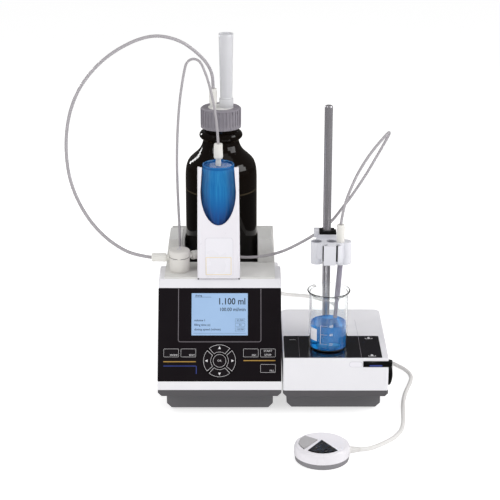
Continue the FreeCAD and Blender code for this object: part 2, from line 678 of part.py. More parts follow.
cap = new_body("cap_ring")
turn(cap, [(D.cap_bore, D.cap_low), (D.cap_radius, D.cap_low), (D.cap_radius, D.cap_low + 3.4),
           (D.cap_radius - 0.5, D.cap_low + 4), (D.cap_radius - 0.7, D.cap_high - 1.2),
           (D.cap_radius - 1.9, D.cap_high), (D.insert_radius + 0.4, D.cap_high),
           (D.insert_radius + 0.4, 331.2), (D.cap_bore, 331.2)])
ribs = []
rib_sketch = sketch(cap, "Z", [rect(D.cap_radius - 1.5, D.cap_radius + 0.1, -0.8, 0.8)],
                    D.cap_low + 3)
rib = feature(cap, "Pad", rib_sketch)
bind(rib, "Length", D.cap_high - D.cap_low - 4.5)
pattern = cap.newObject("PartDesign::PolarPattern", "cap_ribs")
pattern.Originals = [rib]
axis_line = [f for f in cap.Origin.OriginFeatures if f.Role == "Z_Axis"][0]
pattern.Axis = (axis_line, [""])
pattern.Angle = 360
pattern.Occurrences = 36
cap.Tip = pattern
doc.recompute()
spread(cap, D.bottle_x, D.bottle_y, 0)

insert = new_body("cap_insert")
turn(insert, [(0, 327), (18.2, 327), (18.2, 329.2), (22, 329.2), (22, 330.8),
              (D.insert_radius, 330.8), (D.insert_radius, D.dryer_low), (0, D.dryer_low)])
pad(insert, "Z", [circle(D.inlet_x, D.inlet_y, 4)], D.dryer_low, 338)
pocket(insert, "Z", [circle(D.inlet_x, D.inlet_y, D.suction_radius)], 326, 339)
spread(insert, D.bottle_x, D.bottle_y, 0)

inlet = new_body("bottle_fitting")
turn(inlet, [(0, 338), (4.6, 338), (5.2, 340), (4.6, 358), (0, 358)])
spread(inlet, D.bottle_x + D.inlet_x, D.bottle_y + D.inlet_y, 0)

dip = new_body("dip_tube")
turn(dip, [(1.2, 110), (D.suction_radius, 110), (D.suction_radius, 338), (1.2, 338)])
spread(dip, D.bottle_x + D.inlet_x, D.bottle_y + D.inlet_y, 0)

dryer = new_body("drying_tube")
turn(dryer, [(0, D.dryer_low), (9.3, D.dryer_low), (9.3, 343.4), (7.9, 344.2),
             (9.5, D.dryer_high), (8.3, D.dryer_high), (6.8, 346), (0, 346)])
spread(dryer, D.bottle_x + D.dryer_x, D.bottle_y, 0)

# ----------------------------------------------------------------- stirrer

tray("stirrer_foot", D.stir_left + 5, D.stir_right - 8, as_dim(18), D.stir_back - 14,
     D.foot_low, D.pan_low, D.foot_corner)
tray("stirrer_pan", D.stir_left, D.stir_right, as_dim(0), D.stir_back,
     D.pan_low, D.stir_low, as_dim(4))

body = new_body("stirrer_housing")
pad(body, "Z", [rect(D.stir_left, D.stir_right, 0, D.stir_back)], D.stir_low, D.stir_high)
fillet(body, 9, lambda b: upright(b) and b.YMin > 160)
fillet(body, 2.5, lambda b: upright(b) and b.YMax < 1)
fillet(body, 1.5, level_at(75.6))
pocket(body, "Z", [rect(D.stir_left + D.wall, D.stir_right - D.wall, D.wall,
                        D.stir_back - D.wall - 3)], D.stir_low, D.plate_low - 2.4)
pocket(body, "Z", [rect(D.plate_left - 0.2, D.plate_right + 0.2, D.plate_front - 0.2,
                        D.plate_back + 0.2)], D.plate_low, D.stir_high + 1)
pad(body, "Z", [circle(D.rod_x, D.rod_y, 9)], 50, D.plate_low - 1)
pocket(body, "Z", [circle(D.rod_x, D.rod_y, D.stand_radius)], D.stand_low, D.stir_high + 1)
pocket(body, "X", [circle(D.knob_y, D.knob_z, 3 + D.fit_gap)], D.stir_right - D.wall - 1,
       D.stir_right + 1)
spread(body)

plate = new_body("stirrer_plate")
pad(plate, "Z", [rect(D.plate_left, D.plate_right, D.plate_front, D.plate_back)],
    D.plate_low, D.plate_high)
fillet(plate, 2, upright)
spread(plate)

stir_motor = new_body("stirrer_motor", False)
pad(stir_motor, "Z", [circle(0, 0, 16)], D.stir_low, 54)
pad(stir_motor, "Z", [rect(-20, 20, -20, 20)], D.pan_low + 4.5, D.stir_low)
pocket(stir_motor, "Z", [circle(0, 0, 2.6)], 46, 55)
spread(stir_motor, D.beaker_x, D.beaker_y, 0)

rotor = new_body("magnet_rotor")
pad(rotor, "Z", [circle(0, 0, 2.5)], 47, 56)
pad(rotor, "Z", [rect(-20, 20, -6, 6)], 56, 64)
fillet(rotor, 5, lambda b: upright(b) and 7.5 < b.ZLength < 8.5)
spread(rotor, D.beaker_x, D.beaker_y, 0)

knob = new_body("speed_knob")
turn(knob, [(0, -8), (3, -8), (3, 0.4), (D.knob_radius, 0.4), (D.knob_radius, 2.6),
            (13.6, 3.6), (10.6, 4.9), (6.4, 6), (0, D.knob_long)])
settle(knob, D.stir_right, D.knob_y, D.knob_z, (0, 1, 0), 90)

stand = new_body("stand_rod")
turn(stand, [(0, D.stand_low), (D.stand_radius, D.stand_low), (D.stand_radius, D.stand_high - 2),
             (D.stand_radius - 0.8, D.stand_high - 0.6), (D.stand_radius - 2, D.stand_high),
             (0, D.stand_high)])
spread(stand, D.rod_x, D.rod_y, 0)

beaker = new_body("beaker")
turn(beaker, [(0, 0), (21.5, 0), (23.4, 0.9), (24, 3), (24, 69), (24.6, 72.5), (26.6, 75.4),
              (26.2, 76), (25.2, 75.8), (23, 73), (22.4, 69), (22.4, 4), (21, 2), (0, 1.8)])
spread(beaker, D.beaker_x, D.beaker_y, D.plate_high)

bar = new_body("stir_bar")
turn(bar, [(0, -11), (1.6, -10.4), (3, -8), (3, 8), (1.6, 10.4), (0, 11)])
settle(bar, D.beaker_x, D.beaker_y, D.plate_high + 5.3, (0, 1, 0), 90)

# ----------------------------------------------------- clamp and dosing tip

clamp = new_body("clamp_body")
web = [(-15, -11), (-9, 7), (9, 7), (23, -11), (23, -24), (12, -31), (-4, -31), (-15, -23)]
pad(clamp, "Z", [web], D.clamp_low + 8, D.clamp_high)
# x, y and outer radius of each lobe, its bore, and how far it stops above the lowest
lobes = [(0, 0, 9, 0, 2), (-13.1, -17.5, 7.4, 6.05, 0), (5, -17.5, 7.2, 5.4, 0),
         (-2.9, -32.3, 5.2, 3.4, 7), (11.8, -32.8, 5.2, 3.6, 6),
         (16.1, -20.5, 6, D.lean_radius + 0.1, 0), (21.5, -18, 8, 0, 0)]
for x, y, radius, hole, lift in lobes:
    pad(clamp, "Z", [circle(x, y, radius)], D.clamp_low + lift, D.clamp_high)
pad(clamp, "Z", [rect(-5, 9.9, -37.5, -24.5)], D.clamp_low + 3.3, D.clamp_high)
pad(clamp, "Z", [rect(-11.4, 11.6, -7.6, 9)], D.clamp_high, D.flange_high)
for x, y, radius, hole, lift in lobes[1:-1]:
    pocket(clamp, "Z", [circle(x, y, hole)], D.clamp_low - 4, D.clamp_high + 1)
# the narrow mouths of the two clips
for left, right_side in ((-6.9, -5.1), (9.9, 12.1)):
    pocket(clamp, "Z", [rect(left, right_side, -40, -32)], D.clamp_low - 4, D.clamp_high + 1)
pad(clamp, "Z", [rect(-16, -9.7, -4, 4)], D.clamp_high, D.lever_high)
pocket(clamp, "Z", [circle(0, 0, D.stand_radius + 0.06)], D.clamp_low - 4, D.lever_high)
spread(clamp, D.rod_x, D.rod_y, 0)

button = new_body("clamp_button")
pad(button, "Z", [rect(-9.4, 11.6, -7.6, 6.8)], D.button_low, D.button_high)
fillet(button, 0.9, upright)
pocket(button, "Z", [rect(9.2, 12, -8, 7)], D.button_high - 1.8, D.button_high + 1)
for y in (-1.1, 0):
    pocket(button, "Z", [circle(0, y, D.stand_radius + 0.25)], D.button_low - 1, D.button_high + 1)
spread(button, D.rod_x, D.rod_y, 0)

barrel = new_body("tip_barrel", False)
turn(barrel, [(0, D.lean_high), (D.lean_radius, D.lean_high), (D.lean_radius, D.clamp_high + 0.1),
              (4.6, D.clamp_high + 0.1), (D.tip_radius, D.clamp_high + 3),
              (D.tip_radius, D.barrel_high - 3), (4.3, D.barrel_high), (0, D.barrel_high)])
spread(barrel, D.tip_x, D.tip_y, 0)
# below the clamp the tip leans forward and narrows into the beaker
pieces = [barrel]
high, middle, low = (0, 0, 175.5), (-3.7, -11.2, 137), (-6, -18, 113)
for name, radius, start, end in (("lean", D.lean_radius, high, middle),
                                 ("outlet", D.outlet_radius, middle, low)):
    heading = FreeCAD.Vector(*end) - FreeCAD.Vector(*start)
    x, y = D.tip_x + start[0], D.tip_y + start[1]
    piece = cylinder("tip_" + name, radius, heading.Length, x, y, start[2])
    piece.Placement.Rotation = FreeCAD.Rotation(FreeCAD.Vector(0, 0, 1), heading)
    joint = doc.addObject("Part::Sphere", "tip_joint_" + name)
    bind(joint, "Radius", D.lean_radius)
    settle(joint, x, y, start[2])
    pieces += [piece, joint]
node(boolean("MultiFuse", "dosing_tip", pieces))

# --------------------------------------------------------- hand controller

hand_base = new_body("hand_base")
turn(hand_base, [(0, 0), (30.4, 0), (31.6, 1), (32.2, 6.4), (32.2, D.hand_base),
                 (29, D.hand_base), (29, 2.4), (0, 2.4)])
spread(hand_base, D.hand_x, D.hand_y, 0)


def grown(corners, factor):
    """The same outline, larger or smaller about its own middle."""
    mid_x = sum(x for x, y in corners) / len(corners)
    mid_y = sum(y for x, y in corners) / len(corners)
    return [(mid_x + (x - mid_x) * factor, mid_y + (y - mid_y) * factor) for x, y in corners]


front_key = [(0, 8.4), (-17.4, -19.4), (-12.3, -23.5), (-6.3, -26.2), (0, -27.1),
             (6.3, -26.2), (12.3, -23.5), (17.4, -19.4)]
side_key = [(-4.6, 8.6), (-19.6, 19.8), (-25, 12), (-27.6, 0), (-25.4, -9), (-21.6, -16.4)]
hand_top = new_body("hand_top")
turn(hand_top, [(29, D.hand_base), (32.6, D.hand_base), (32.6, 15.4), (31.8, 17.8),
                (30, 19.2), (28, D.hand_high), (0, D.hand_high), (0, 17), (29, 17)])
for corners in (front_key, side_key):
    pocket(hand_top, "Z", [grown(corners, 1.02)], 16, 20.5)
pocket(hand_top, "X", [circle(0, 11, D.cable_radius)], 27, 34)
spread(hand_top, D.hand_x, D.hand_y, 0)

for label, corners in (("hand_key_front", front_key), ("hand_key_side", side_key)):
    key = new_body(label)
    pad(key, "Z", [grown(corners, 0.98)], 17.2, 20.6)
    fillet(key, 0.6, level_at(20.6))
    spread(key, D.hand_x, D.hand_y, 0)

# ------------------------------------------------------------------- tubes


def cord(label, radius, route):
    """A round tube on straight runs joined by tangent arcs."""
    shift = FreeCAD.Vector(D.origin_x.value, D.origin_y.value, 0)
    points = [FreeCAD.Vector(*point) - shift for point in route]
    runs = [(points[i + 1] - points[i]).Length for i in range(len(points) - 1)]
    edges = []
    radii = []
    here = points[0]
    for i in range(1, len(points) - 1):
        back = (points[i - 1] - points[i]).normalize()
        ahead = (points[i + 1] - points[i]).normalize()
        half_turn = (math.pi - back.getAngle(ahead)) / 2
        reach = 0.45 * min(runs[i - 1], runs[i])
        bend = reach / math.tan(half_turn)
        radii.append(bend)
        arc_start = points[i] + back * reach
        arc_end = points[i] + ahead * reach
        middle = (back + ahead).normalize()
        centre_gap = bend / math.cos(half_turn)
        arc_mid = points[i] + middle * (centre_gap - bend)
        edges.append(Part.LineSegment(here, arc_start).toShape())
        edges.append(Part.Arc(arc_start, arc_mid, arc_end).toShape())
        here = arc_end
    edges.append(Part.LineSegment(here, points[-1]).toShape())
    path = Part.Wire(edges)
    heading = (points[1] - points[0]).normalize()
    section = Part.Wire([Part.makeCircle(radius.value, points[0], heading)])
    solid = path.makePipeShell([section], True, True)
    item = doc.addObject("Part::Feature", label)
    item.Label = label
    item.Shape = solid
    item.Placement = FreeCAD.Placement()
    expected = math.pi * radius.value ** 2 * path.Length
    print("%s: length %.0f, smallest bend %.1f (%.1f diameters), largest turn run %.0f, "
          "volume ratio %.4f" % (label, path.Length, min(radii), min(radii) / radius.value / 2,
                                 max(runs), solid.Volume / expected))
    return node(item)


barrel_end = D.nut_long.value + D.fitting_long.value
left_end = D.valve_x.value - valve_face - barrel_end
cord("suction_tube", D.suction_radius, [
    (-10.5, 235, 358.3), (-10.5, 235, 371), (-13.5, 231.5, 384), (-20.5, 226, 397),
    (-32, 220, 410), (-47, 214, 423),
    (-64, 209, 431), (-84, 203, 435), (-106, 196, 431), (-129, 188, 421), (-150, 181, 407),
    (-168, 173, 389), (-182, 166, 368), (-191, 158, 344), (-195, 149, 318), (-195, 142, 292),
    (-191, 134, 266), (-182, 126, 242), (-168, 117, 219), (-150, 108, 200),
    (-129, 99, 186), (-107, 91, 178), (left_end, 89, D.port_high.value)])
cord("cylinder_tube", D.cylinder_tube_radius, [
    (-1.3, 87.5, 324.3), (-2.4, 88, 344), (-5, 88.6, 366), (-9, 89.4, 386), (-13.4, 90.2, 404),
    (-17.8, 90.7, 416), (-21.7, 91.5, 424.8), (-25.8, 92, 428.4), (-31, 92.4, 429.6),
    (-36.1, 92.8, 427.7), (-39.8, 93.2, 423.6), (-42, 94, 414.5), (-44.4, 95, 402),
    (-47.3, 96.4, 384), (-50, 98, 360), (-52, 100.2, 331), (-53.2, 102.6, 299),
    (-53, 105.2, 265), (-52.2, 107.5, 232), (-51.3, 109.2, 205), (-51, 109.5, 179.8)])
turn_x = math.cos(math.radians(D.port_turn.value))
turn_y = math.sin(math.radians(D.port_turn.value))
right_end = valve_face + barrel_end
right_x = D.valve_x.value + right_end * turn_x
right_y = D.valve_y.value + right_end * turn_y
high = D.port_high.value
cord("dosing_tube", D.dosing_radius, [
    (right_x, right_y, high), (-10, 110.3, 174.5), (2, 112.6, 171.5), (14, 112.6, 169),
    (27, 111.6, 167.8), (41, 110, 168.3), (55, 108.5, 170.5), (68, 106.5, 174),
    (82, 104, 179.6), (98, 101, 189), (114, 98, 199.5), (129, 95.5, 211), (142, 94.2, 224),
    (152.5, 93.5, 239), (162.5, 93, 253), (172.5, 92.8, 268.5), (183, 92.5, 286),
    (192.5, 92, 304), (200, 91.5, 318), (205, 90, 328.5), (208, 86, 336.5), (208, 79, 341.5),
    (205, 72.5, 341.5), (200, 68.5, 337), (193.5, 66.8, 330), (185, 65.7, 319),
    (177, 64.4, 307), (168.5, 63.2, 292), (161.2, 62, 275), (155.4, 61, 259), (151.7, 60, 244.5),
    (149.6, 59.5, 229.3)])

plug_body = new_body("hand_plug")
turn(plug_body, [(0, -6), (4.5, -6), (4.5, 2), (6, 2), (6, 16), (4.4, 20), (3.2, 30), (0, 30)])
settle(plug_body, 50, D.unit_depth, 65, (1, 0, 0), -90)
cord("hand_cable", D.cable_radius, [
    (50, 326, 65), (50, 341, 63), (52, 358, 54), (58, 376, 36), (68, 392, 18), (86, 404, 6),
    (112, 408, 2.8), (140, 400, 2.8), (164, 378, 2.8), (178, 346, 2.8), (183, 308, 2.8),
    (186, 268, 2.8), (192, 230, 2.8), (202, 196, 2.8), (214, 172, 2.8), (229, 153, 2.8),
    (243, 134, 2.8), (249, 113, 2.8), (245, 90, 2.8), (237, 64, 2.8), (231, 34, 2.8),
    (228, 2, 2.8), (226, -28, 2.8), (221, -54, 2.8), (209, -75, 2.8), (193, -91, 3),
    (179, -106, 5), (167, -115, 8.5), (150.5, -121, 11)])

node(boolean("Compound", "housing_screws", screws))
node(boolean("Compound", "motors", [motor, gear, stir_motor]))

# ------------------------------------------------------------------ export

doc.recompute()
faults = [o.Label for o in doc.Objects if "Invalid" in o.State or "Error" in o.State]
for item in NODES:
    shape = item.Shape
    if shape.isNull() or not shape.isValid() or not shape.Solids:
        faults.append(item.Label + " has no valid solid")
if faults:
    raise RuntimeError("failed: " + ", ".join(faults))
os.makedirs("parts", exist_ok=True)
for item in NODES:
    item.Shape.exportStep(os.path.join("parts", item.Label + ".step"))
print("%d sub-parts written" % len(NODES))
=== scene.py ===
import math

import bmesh
import bpy
from mathutils import Matrix, Vector


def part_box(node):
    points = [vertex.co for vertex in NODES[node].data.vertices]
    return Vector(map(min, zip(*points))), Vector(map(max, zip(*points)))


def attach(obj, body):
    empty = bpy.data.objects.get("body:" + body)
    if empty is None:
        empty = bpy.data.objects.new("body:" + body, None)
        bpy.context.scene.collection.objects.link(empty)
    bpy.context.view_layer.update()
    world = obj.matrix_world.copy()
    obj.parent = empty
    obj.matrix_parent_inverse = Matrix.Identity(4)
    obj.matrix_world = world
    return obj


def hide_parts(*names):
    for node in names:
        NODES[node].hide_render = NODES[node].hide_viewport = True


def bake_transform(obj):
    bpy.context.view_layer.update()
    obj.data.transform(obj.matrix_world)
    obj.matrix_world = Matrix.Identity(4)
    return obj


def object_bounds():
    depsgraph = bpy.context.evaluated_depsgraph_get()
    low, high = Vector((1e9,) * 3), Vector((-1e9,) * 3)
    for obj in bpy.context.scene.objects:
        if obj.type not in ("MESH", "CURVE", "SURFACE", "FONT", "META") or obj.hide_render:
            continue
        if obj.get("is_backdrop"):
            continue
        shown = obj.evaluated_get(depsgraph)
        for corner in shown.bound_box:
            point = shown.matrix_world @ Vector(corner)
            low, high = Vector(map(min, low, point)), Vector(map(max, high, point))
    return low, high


# A piston burette with its supply bottle, stirrer, beaker and hand controller:
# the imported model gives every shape, and this script gives it its looks.

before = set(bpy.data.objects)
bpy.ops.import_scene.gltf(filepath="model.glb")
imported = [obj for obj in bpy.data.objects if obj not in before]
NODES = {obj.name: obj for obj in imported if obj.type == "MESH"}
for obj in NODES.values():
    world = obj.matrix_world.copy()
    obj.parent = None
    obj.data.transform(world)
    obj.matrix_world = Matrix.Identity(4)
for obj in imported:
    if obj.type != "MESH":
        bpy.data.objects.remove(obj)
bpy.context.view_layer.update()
SCENE = bpy.context.scene
MM = 0.001
# the row frame's origin, measured from the middle of the housing's front edge
ORIGIN = Vector((0.0645, 0.07195, 0))
UP = Vector((0, 0, 1))


def at(x, y, z):
    """A point in the housing's own millimetres, in the row frame."""
    return Vector((x, y, z)) * MM - ORIGIN


def link(name, data):
    obj = bpy.data.objects.new(name, data)
    SCENE.collection.objects.link(obj)
    return obj


# ----------------------------------------------------------------- camera

camera = link("camera", bpy.data.cameras.new("camera"))
camera.location = (-0.0268, -1.94035, 0.871)
camera.rotation_euler = (math.radians(70.7), 0, 0)
camera.data.lens = 118.8
camera.data.sensor_width = 36
SCENE.camera = camera


# ------------------------------------------------------------------ cords

def evaluated(obj):
    """A new mesh of the object as it is shown."""
    bpy.context.view_layer.update()
    graph = bpy.context.evaluated_depsgraph_get()
    return bpy.data.meshes.new_from_object(obj.evaluated_get(graph))


def remove(obj):
    data = obj.data
    bpy.data.objects.remove(obj)
    bpy.data.curves.remove(data)


def route(name, points):
    """A smooth line along a tube's route."""
    data = bpy.data.curves.new(name, "CURVE")
    data.dimensions = "3D"
    data.resolution_u = 10
    spline = data.splines.new("NURBS")
    spline.points.add(len(points) - 1)
    for point, place in zip(spline.points, points):
        point.co = (*at(*place), 1)
    spline.order_u = 3
    spline.use_endpoint_u = True
    data.bevel_resolution = 5
    data.use_fill_caps = True
    return link(name, data)


def tube(name, points, radius):
    """A mesh tube and the points it follows."""
    line = route(name, points)
    path = [v.co.copy() for v in evaluated(line).vertices]
    line.data.bevel_depth = radius * MM
    mesh = evaluated(line)
    remove(line)
    obj = link(name, mesh)
    for face in mesh.polygons:
        face.use_smooth = True
    return obj, path


# the tubes' routes in the housing's own millimetres, each from its first fitting to its last
SUCTION_ROUTE = [
    (-10.5, 235, 358.3), (-10.5, 235, 371), (-13.5, 231.5, 384), (-20.5, 226, 397),
    (-32, 220, 410), (-47, 214, 423), (-64, 209, 431), (-84, 203, 435), (-106, 196, 431),
    (-129, 188, 421), (-150, 181, 407), (-168, 173, 389), (-182, 166, 368), (-191, 158, 344),
    (-195, 149, 318), (-195, 142, 292), (-191, 134, 266), (-182, 126, 242), (-168, 117, 219),
    (-150, 108, 200), (-129, 99, 186), (-107, 91, 178), (-86, 89, 175.8)]
CYLINDER_ROUTE = [
    (-1.3, 87.5, 324.3), (-2.4, 88, 344), (-5, 88.6, 366), (-9, 89.4, 386),
    (-13.4, 90.2, 404), (-17.8, 90.7, 416), (-21.7, 91.5, 424.8), (-25.8, 92, 428.4),
    (-31, 92.4, 429.6), (-36.1, 92.8, 427.7), (-39.8, 93.2, 423.6), (-42, 94, 414.5),
    (-44.4, 95, 402), (-47.3, 96.4, 384), (-50, 98, 360), (-52, 100.2, 331),
    (-53.2, 102.6, 299), (-53, 105.2, 265), (-52.2, 107.5, 232), (-51.3, 109.2, 205),
    (-51, 109.5, 179.8)]
DOSING_ROUTE = [
    (-20.1, 105.4, 175.8), (-10, 110.3, 174.5), (2, 112.6, 171.5), (14, 112.6, 169),
    (27, 111.6, 167.8), (41, 110, 168.3), (55, 108.5, 170.5), (68, 106.5, 174),
    (82, 104, 179.6), (98, 101, 189), (114, 98, 199.5), (129, 95.5, 211), (142, 94.2, 224),
    (152.5, 93.5, 239), (162.5, 93, 253), (172.5, 92.8, 268.5), (183, 92.5, 286),
    (192.5, 92, 304), (200, 91.5, 318), (205, 90, 328.5), (208, 86, 336.5),
    (208, 79, 341.5), (205, 72.5, 341.5), (200, 68.5, 337), (193.5, 66.8, 330),
    (185, 65.7, 319), (177, 64.4, 307), (168.5, 63.2, 292), (161.2, 62, 275),
    (155.4, 61, 259), (151.7, 60, 244.5), (149.6, 59.5, 229.3)]
CABLE_ROUTE = [
    (50, 326, 65), (50, 341, 63), (52, 358, 54), (58, 376, 36), (68, 392, 18), (86, 404, 6),
    (112, 408, 2.8), (140, 400, 2.8), (164, 378, 2.8), (178, 346, 2.8), (183, 308, 2.8),
    (186, 268, 2.8), (192, 230, 2.8), (202, 196, 2.8), (214, 172, 2.8), (229, 153, 2.8),
    (243, 134, 2.8), (249, 113, 2.8), (245, 90, 2.8), (237, 64, 2.8), (231, 34, 2.8),
    (228, 2, 2.8), (226, -28, 2.8), (221, -54, 2.8), (209, -75, 2.8), (193, -91, 3),
    (179, -106, 5), (167, -115, 8.5), (150.5, -121, 11)]

# the supply bottle and the clamp move, so their tubes, which run between two bodies, ride on none
suction, path = tube("suction_line", SUCTION_ROUTE, 2.1)
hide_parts("suction_tube")
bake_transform(suction)

dosing, path = tube("dosing_line", DOSING_ROUTE, 1.75)
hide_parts("dosing_tube")
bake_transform(dosing)

cylinder_line, path = tube("cylinder_line", CYLINDER_ROUTE, 1.6)
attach(cylinder_line, "base")
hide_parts("cylinder_tube")

cable, path = tube("hand_line", CABLE_ROUTE, 2.7)
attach(cable, "base")
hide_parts("hand_cable")


# -------------------------------------------------------------- materials

def colour(red, green, blue):
    """A colour as it is seen, 0 to 255, in the linear values the shader takes."""
    return tuple((c / 255 / 12.92) if c < 11 else ((c / 255 + 0.055) / 1.055) ** 2.4
                 for c in (red, green, blue))


class Finish:
    """A material and its nodes, all in the object's own metres."""

    def __init__(self, name, base, rough, **constants):
        self.material = bpy.data.materials.new(name)
        self.material.use_nodes = True
        tree = self.material.node_tree
        self.nodes, self.links = tree.nodes, tree.links
        self.shader = self.nodes["Principled BSDF"]
        self.place = self.nodes.new("ShaderNodeTexCoord").outputs["Object"]
        self.base = base
        self.rough = rough
        self.shader.inputs["Base Color"].default_value = (*base, 1)
        self.shader.inputs["Roughness"].default_value = rough
        for key, number in constants.items():
            self.shader.inputs[key.replace("_", " ")].default_value = number

    def stretched(self, x, y, z):
        """The object's own place, drawn out along the axes with small factors."""
        node = self.nodes.new("ShaderNodeMapping")
        node.inputs["Scale"].default_value = (x, y, z)
        self.links.new(self.place, node.inputs["Vector"])
        return node.outputs["Vector"]

    def noise(self, size, detail=3.0, place=None):
        """Noise whose features are about size millimetres."""
        node = self.nodes.new("ShaderNodeTexNoise")
        node.inputs["Scale"].default_value = 1000 / size
        node.inputs["Detail"].default_value = detail
        self.links.new(place or self.place, node.inputs["Vector"])
        return node.outputs["Fac"]

    def spread(self, value, low, high, start=0.3, end=0.7):
        """Takes a value from start and end, where most of a noise lies, to low and high."""
        node = self.nodes.new("ShaderNodeMapRange")
        for key, number in (("From Min", start), ("From Max", end),
                            ("To Min", low), ("To Max", high)):
            node.inputs[key].default_value = number
        self.links.new(value, node.inputs["Value"])
        return node.outputs["Result"]

    def mix(self, factor, first, second):
        node = self.nodes.new("ShaderNodeMix")
        node.data_type = "RGBA"
        for index, value in ((0, factor), (6, first), (7, second)):
            if isinstance(value, bpy.types.NodeSocket):
                self.links.new(value, node.inputs[index])
            else:
                node.inputs[index].default_value = value if index == 0 else (*value, 1)
        return node.outputs[2]

    def paint(self, value):
        self.links.new(value, self.shader.inputs["Base Color"])
        return self

    def mottle(self, size=40, share=0.04):
        """Slow drifts of the colour across the surface."""
        darker = tuple(c * (1 - share) for c in self.base)
        lighter = tuple(min(1, c * (1 + share)) for c in self.base)
        factor = self.spread(self.noise(size), 0, 1)
        return self.paint(self.mix(factor, darker, lighter))

    def worn(self, size=25, share=0.08):
        """Roughness that changes from spot to spot."""
        value = self.spread(self.noise(size, 5), max(0.01, self.rough - share),
                            min(1, self.rough + share))
        self.links.new(value, self.shader.inputs["Roughness"])
        return self

    def grain(self, size=0.6, depth=0.02, value=None):
        """A fine relief, depth in millimetres."""
        node = self.nodes.new("ShaderNodeBump")
        node.inputs["Strength"].default_value = 0.6
        node.inputs["Distance"].default_value = depth * MM
        self.links.new(value or self.noise(size, 4), node.inputs["Height"])
        self.links.new(node.outputs["Normal"], self.shader.inputs["Normal"])
        return self

    def height(self, low, high):
        """0 at one height of the object and 1 at another, in metres."""
        node = self.nodes.new("ShaderNodeSeparateXYZ")
        self.links.new(self.place, node.inputs["Vector"])
        return self.spread(node.outputs["Z"], 0, 1, low, high)

    def ramp(self, value, stops):
        """A colour for each stretch of a value from 0 to 1."""
        node = self.nodes.new("ShaderNodeValToRGB")
        elements = node.color_ramp.elements
        while len(elements) < len(stops):
            elements.new(0.5)
        for element, (place, tint) in zip(elements, stops):
            element.position = place
            element.color = (*tint, 1)
        self.links.new(value, node.inputs["Fac"])
        return node.outputs["Color"]

    def done(self):
        return self.material


def plastic(name, base, rough=0.42, grain=0.5, depth=0.015, coat=0.0, shine=0.5):
    """Moulded plastic with a fine spark-eroded skin."""
    made = Finish(name, base, rough, Coat_Weight=coat, Specular_IOR_Level=shine)
    return made.mottle(60, 0.015).worn(30, 0.06).grain(grain, depth).done()


def brushed(name, base, stretch, rough=0.28, metal=1.0):
    """Metal with fine lines along one axis."""
    made = Finish(name, base, rough, Metallic=metal)
    lines = made.noise(0.5, 3, made.stretched(*stretch))
    made.paint(made.mix(made.spread(lines, 0, 1), tuple(c * 0.82 for c in base), base))
    made.links.new(made.spread(lines, rough - 0.08, rough + 0.1),
                   made.shader.inputs["Roughness"])
    return made.grain(depth=0.004, value=lines).done()


def clear(name, base, rough=0.02, through=1.0, ior=1.5, **constants):
    """Glass and clear plastic, with faint smears."""
    made = Finish(name, base, rough, Transmission_Weight=through, IOR=ior, **constants)
    return made.mottle(30, 0.01).worn(12, 0.012).grain(14, 0.02).done()


WHITE = plastic("housing_white", colour(238, 237, 241))
TOWER = plastic("tower_white", colour(240, 237, 243), 0.3, coat=0.15)
BAND = plastic("band_grey", colour(91, 89, 92), 0.45)
FOOT = plastic("foot_grey", colour(106, 105, 108), 0.5, 0.7)
RUBBER = plastic("foot_rubber", colour(28, 28, 29), 0.8, 0.4, 0.04)
PANEL = plastic("panel_foil", colour(24, 19, 23), 0.34, 0.25, 0.004, shine=0.2)
KEY = plastic("key_foil", colour(27, 22, 26), 0.38, 0.25, 0.006, shine=0.2)
BOARD = plastic("board_green", colour(24, 92, 52), 0.4)
SOCKET = plastic("socket_black", colour(34, 33, 36), 0.45)
CRADLE = plastic("cradle_white", colour(219, 218, 215), 0.46)
CREAM = plastic("fitting_cream", colour(233, 231, 226), 0.4, 0.4)
VALVE = plastic("valve_cream", colour(226, 223, 218), 0.42, 0.4)
PTFE = plastic("ptfe_white", colour(232, 231, 228), 0.5, 0.8, 0.03)
CLAMP = plastic("clamp_white", colour(226, 226, 232), 0.4)
# painted shade for the clamp's bores, at their edges and inside
BORE_SHADE = plastic("clamp_bore_painted_shade", colour(176, 176, 184), 0.5)
BLACK = plastic("black_plastic", colour(12, 11, 11), 0.36, shine=0.25)
HAND = plastic("hand_white", colour(242, 239, 244), 0.3, coat=0.2)
HAND_SIDE = plastic("hand_grey", colour(142, 140, 144), 0.45)
HAND_KEY = plastic("hand_key_grey", colour(180, 178, 180), 0.4)
HAND_BLACK = plastic("hand_key_black", colour(15, 13, 13), 0.3, shine=0.2)
CABLE = plastic("cable_sheath", colour(228, 226, 224), 0.45, 0.3)
MOTOR = plastic("motor_case", colour(48, 48, 52), 0.4)
ROD = brushed("rod_steel", colour(190, 187, 192), (1, 1, 0.02), 0.22, 0.62)
STEEL = brushed("machined_steel", colour(170, 170, 174), (0.05, 1, 1), 0.3)
GLASS = clear("clear_glass", (0.97, 0.985, 0.985), ior=1.47)
BLACK_GLASS = plastic("plate_glass", colour(24, 22, 27), 0.12, 6, 0.004, shine=0.4)
LEGEND = plastic("legend_white", colour(226, 224, 226), 0.5, 0.3, 0.002)
LINE = plastic("legend_grey", colour(122, 116, 122), 0.5, 0.3, 0.002)
OCHRE = plastic("legend_ochre", colour(186, 146, 66), 0.5, 0.3, 0.002)
BLUE = plastic("legend_blue", colour(52, 70, 150), 0.5, 0.3, 0.002)
INK = plastic("display_ink", colour(14, 20, 32), 0.6, 0.3, 0.002)
FADED = plastic("display_faded_ink", colour(50, 64, 92), 0.6, 0.3, 0.002)
LABEL = plastic("label_film", colour(241, 239, 245), 0.28, 0.3, 0.003)
# painted shade for the edges of the raised label and key, a groove on the stirrer's top, and the
# valve cap's ridge and mark
EDGE_SHADE = plastic("label_edge", colour(205, 203, 210), 0.4, 0.3, 0.003)
PALE = plastic("label_yellow", colour(240, 219, 170), 0.45, 0.3, 0.003)
# painted shade, for the slot at the tower's foot and the seams of the valve and the hand
# controller
SHADE = plastic("painted_seam_shade", colour(88, 88, 90), 0.6)

